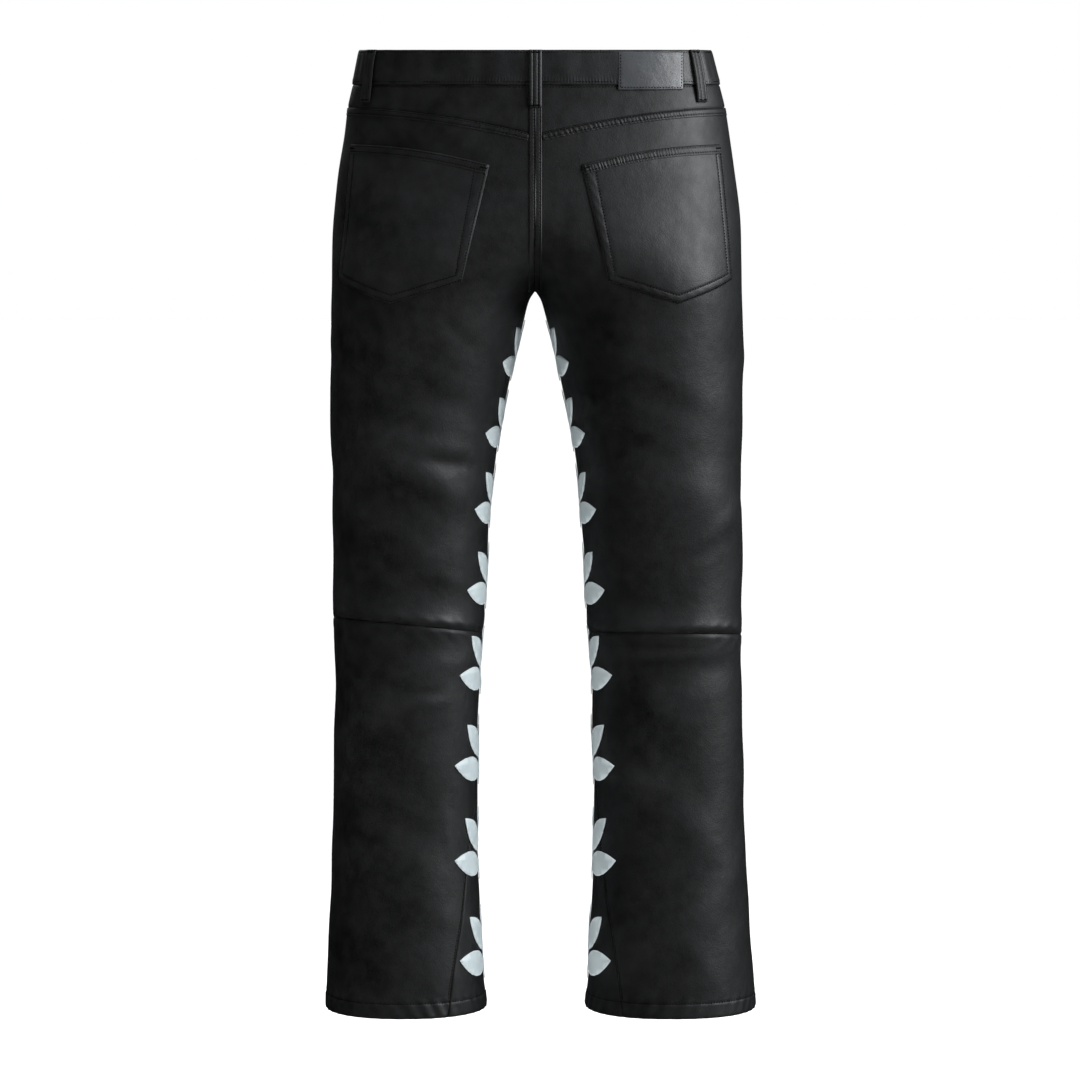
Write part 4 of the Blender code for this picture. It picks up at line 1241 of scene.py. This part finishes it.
def sew_pocket(side):
    """Two rows inside the pocket's sides and point, and two along its top."""
    rows = []
    for inset in POCKET_ROWS_IN:
        share, low = inset / POCKET_WIDTH, inset / POCKET_SLANT
        inner_low, point_low, outer_low = (float(pocket_edges(np.array(t))[0]) + low
                                           for t in (share, POCKET_POINT_AT, 1 - share))
        inner_high, outer_high = (float(pocket_edges(np.array(t))[1]) - 0.003 for t in (share, 1 - share))
        run = through((share * inner_rim(1.0), inner_high), (share, inner_low), (POCKET_POINT_AT, point_low),
                      (1 - share, outer_low), (1 - share, outer_high))

        def rim(s, above, run=run):
            t, height = run(s)
            return on_pocket(side, t, height, 0.0003 + above)[0]

        rows.append(rim)
    for inset in POCKET_TOP_ROWS:
        def hem(s, above, inset=inset):
            t = 0.02 + 0.96 * s
            return on_pocket(side, t, pocket_edges(t)[1] - inset, FELL_RISE - 0.0005 + above)[0]
        rows.append(hem)
    sew(f"stitches_pocket_{SIDES[side]}", rows)


def sew_leg(side):
    """Hem and godet seams."""

    def hem(s, above):
        return on_cloth(side, HEM_STITCH + 0 * s, -pi + tau * s, STITCH_SIT - 0.0001 + above)

    rows = [hem, godet_row(side, BACK), godet_row(side, FRONT)]
    sew(f"stitches_leg_{SIDES[side]}", rows)


def sew_waistband():
    """Rows inside both edges of the waistband, and one below it all round the panels."""
    start = -pi / 2 - past_centre_front(LAP) + 0.012
    end = 1.5 * pi - 0.02
    rows = []
    for height in (BAND_BOTTOM + SEAM / 2 + ROW_INSET, BAND_TOP - ROW_INSET):
        def band(s, above, height=height):
            turn = start + (end - start) * s
            return on_trunk(turn, height + 0 * s, BAND_PROUD - 0.0001 + above)
        rows.append(band)
    for half_of_body in (BACK, FRONT):
        def below(s, above, half_of_body=half_of_body):
            x = off_centre(0.185 - 0.370 * s)
            return on_body(x, BAND_BOTTOM - ROW_INSET, half_of_body, STITCH_SIT + above)
        rows.append(below)
    sew("stitches_waistband", rows)


def sew_fly():
    """The fly's curved double row on the left front, and the front seam below it."""
    rows = []
    for out in FLY_ROWS:
        down = through((out, BAND_BOTTOM - 0.004), (out, -0.060), (out, -0.100), (out * 0.93, -0.122),
                       (out * 0.72, -0.138), (out * 0.38, -0.148), (0.002, FLY_BOTTOM - (out - FLY_ROWS[0])))

        def fly(s, above, down=down):
            x, height = down(s)
            return on_cloth(LEFT, height, angle_at_x(LEFT, height, x, FRONT), STITCH_SIT + above)

        rows.append(fly)
    top, bottom = FLY_BOTTOM - 0.008, CROTCH + 0.004
    for x in FRONT_SEAM_ROWS:
        def rise(s, above, x=x):
            height = top + (bottom - top) * s
            return on_cloth(LEFT, height, angle_at_x(LEFT, height, x, FRONT), STITCH_SIT + above)
        rows.append(rise)
    sew("stitches_fly", rows)


def sew_tacks():
    """Bar tacks at both ends of the belt loops, the pocket tops and the fly's foot."""
    rows = []
    for loop in BELT_LOOPS:
        along = along_waist(loop.side, radians(loop.angle))
        for height in (loop.foot + 0.0022, BAND_TOP - 0.0030):
            share = (height - loop.foot) / (BAND_TOP - loop.foot)

            def tack(s, above, loop=loop, height=height, along=along, share=share):
                angle = radians(loop.angle + loop.lean * share)
                lift = loop_lift(share) + above - 0.0001
                middle = on_cloth(loop.side, height + 0 * s, angle + 0 * s, lift)
                return middle + along * ((s - 0.5) * (LOOP_WIDTH - 0.003))[:, None]

            rows.append(tack)
    for side in (LEFT, RIGHT):
        for t in (0.03, 0.97):
            def corner(s, above, side=side, t=t):
                places = np.clip(t + (s - 0.5) * 0.05, 0.006, 0.994)
                height = pocket_edges(places)[1] - 0.0045
                return on_pocket(side, places, height, FELL_RISE + above - 0.0002)[0]
            rows.append(corner)

    def fly_foot(s, above):
        x, height = 0.002 + 0.008 * s, FLY_BOTTOM - 0.004 + 0 * s
        return on_cloth(LEFT, height, angle_at_x(LEFT, height, x, FRONT), STITCH_SIT + 0.0002 + above)

    rows.append(fly_foot)
    sew("stitches_tacks", rows, TACK_PITCH, TACK_SIZE)


def sew_patch():
    inner, outer = PATCH_INNER_TOP, PATCH_OUTER_BOTTOM
    left, right = inner.across + PATCH_ROW, outer.across - PATCH_ROW
    top, bottom = inner.height - PATCH_ROW, outer.height + PATCH_ROW
    run = through((left, top), (left, bottom), (right, bottom), (right, top))

    def border(s, above):
        across, height = run(s)
        return patch_point(across, height, above - 0.0001)

    sew("stitches_patch", [border])


def make_trousers():
    band = make_waistband()
    for side in (LEFT, RIGHT):
        panels = {
            "front": make_front(side),
            "back_upper": make_back_upper(side),
            "back_lower": make_back_lower(side),
            "yoke": make_yoke(side),
            "godet": make_godet(side),
        }
        sprigs = [make_sprig(side, number) for number in range(SPRIG_COUNT)]
        for number, sprig in enumerate(sprigs):
            size, base = sprig_place(number)
        pocket = make_pocket(side)
        fell = make_yoke_fell(side)
        hem = make_pocket_hem(side)
    make_seat_fell()
    for loop in BELT_LOOPS:
        make_belt_loop(loop)
    make_patch()
    make_button()
    sew_all()


# ---------------------------------------------------------------- studio
FLOOR = -1.60
SUN_STRENGTH, SUN_SOFTNESS, SUN_TILT = 3.9, 50, (-6, 4, 0)  # the angles are in degrees
LIGHT_COLOUR = (0.955, 0.98, 1.0)
WORLD_BEHIND, WORLD_AHEAD = 0.022, 0.010  # strength of the surround towards +Y and -Y
CAMERA_PLACE, CAMERA_DOWN, CAMERA_LENS = (-0.0049, 5.2, 0.0), 5.679, 158.37  # m, degrees, mm

Softbox = namedtuple("Softbox", "name place aim width height power_w spread")
SOFTBOXES = [
    Softbox("key", (-2.62, 1.00, 0.80), (-0.15, 0, 0.12), 1.9, 1.8, 34, pi / 2),
    Softbox("fill", (2.4, 4.0, 0.6), (0.1, 0, -0.5), 1.6, 2.2, 1, pi),
    Softbox("front_key", (-0.2, -3.3, 1.0), (0.0, 0, -0.5), 1.2, 1.8, 58, pi),
    Softbox("front_fill", (1.6, -3.4, 1.3), (0.1, 0, -0.5), 1.2, 1.6, 14, pi),
]


def make_floor():
    bm = bmesh.new()
    bmesh.ops.create_grid(bm, x_segments=1, y_segments=1, size=25)
    bmesh.ops.translate(bm, vec=(0, 0, FLOOR), verts=bm.verts)
    mesh = bpy.data.meshes.new("floor")
    bm.to_mesh(mesh)
    bm.free()
    floor = bpy.data.objects.new("floor", mesh)
    bpy.context.scene.collection.objects.link(floor)
    material, tree, place = new_material("pale_floor")
    surface(tree, {
        "Base Color": mixed(tree, noise(tree, place, 3, 3), (0.90, 0.90, 0.90, 1), (0.93, 0.93, 0.93, 1)),
        "Roughness": 0.8,
        "Specular IOR Level": 0.1,
    })
    mesh.materials.append(material)
    floor.visible_glossy = False


def make_softbox(box):
    light = bpy.data.lights.new(box.name, "AREA")
    light.shape, light.size, light.size_y = "RECTANGLE", box.width, box.height
    light.energy, light.spread, light.color = box.power_w, box.spread, LIGHT_COLOUR
    obj = bpy.data.objects.new(box.name, light)
    bpy.context.scene.collection.objects.link(obj)
    obj.location = box.place
    obj.rotation_mode = "QUATERNION"
    obj.rotation_quaternion = (Vector(box.aim) - Vector(box.place)).to_track_quat("-Z", "Y")


def make_lights():
    sun = bpy.data.lights.new("overhead", "SUN")
    sun.energy, sun.angle = SUN_STRENGTH, radians(SUN_SOFTNESS)
    overhead = bpy.data.objects.new("overhead", sun)
    bpy.context.scene.collection.objects.link(overhead)
    overhead.rotation_euler = [radians(tilt) for tilt in SUN_TILT]
    overhead.visible_glossy = False
    for box in SOFTBOXES:
        make_softbox(box)


def make_world():
    """A white surround for the eye, and a dim light for the cloth, dimmer from the front."""
    world = bpy.data.worlds.new("studio")
    bpy.context.scene.world = world
    world.use_nodes = True
    tree = world.node_tree
    tree.nodes.clear()
    place = node(tree, "ShaderNodeTexCoord").outputs["Generated"]
    y = node(tree, "ShaderNodeSeparateXYZ", {0: place}).outputs[1]
    strength = ranged(tree, y, WORLD_AHEAD, WORLD_BEHIND, -0.6, 0.8)
    seen, around = (
        node(tree, "ShaderNodeBackground", {"Color": colour, "Strength": much}).outputs[0]
        for colour, much in (((1, 1, 1, 1), 1.0), ((0.95, 0.97, 1, 1), strength))
    )
    eye = node(tree, "ShaderNodeLightPath").outputs["Is Camera Ray"]
    mix = node(tree, "ShaderNodeMixShader", {0: eye, 1: around, 2: seen}).outputs[0]
    node(tree, "ShaderNodeOutputWorld", {"Surface": mix})


def make_camera():
    """Level with the waist, 5.2 m behind, looking down at the middle of the trousers."""
    camera = bpy.data.cameras.new("camera")
    camera.lens, camera.sensor_width = CAMERA_LENS, 36
    obj = bpy.data.objects.new("camera", camera)
    bpy.context.scene.collection.objects.link(obj)
    obj.location = CAMERA_PLACE
    obj.rotation_euler = (radians(90 - CAMERA_DOWN), 0, pi)
    bpy.context.scene.camera = obj


make_trousers()
make_floor()
make_lights()
make_world()
make_camera()
bpy.context.scene.view_settings.view_transform = "Standard"
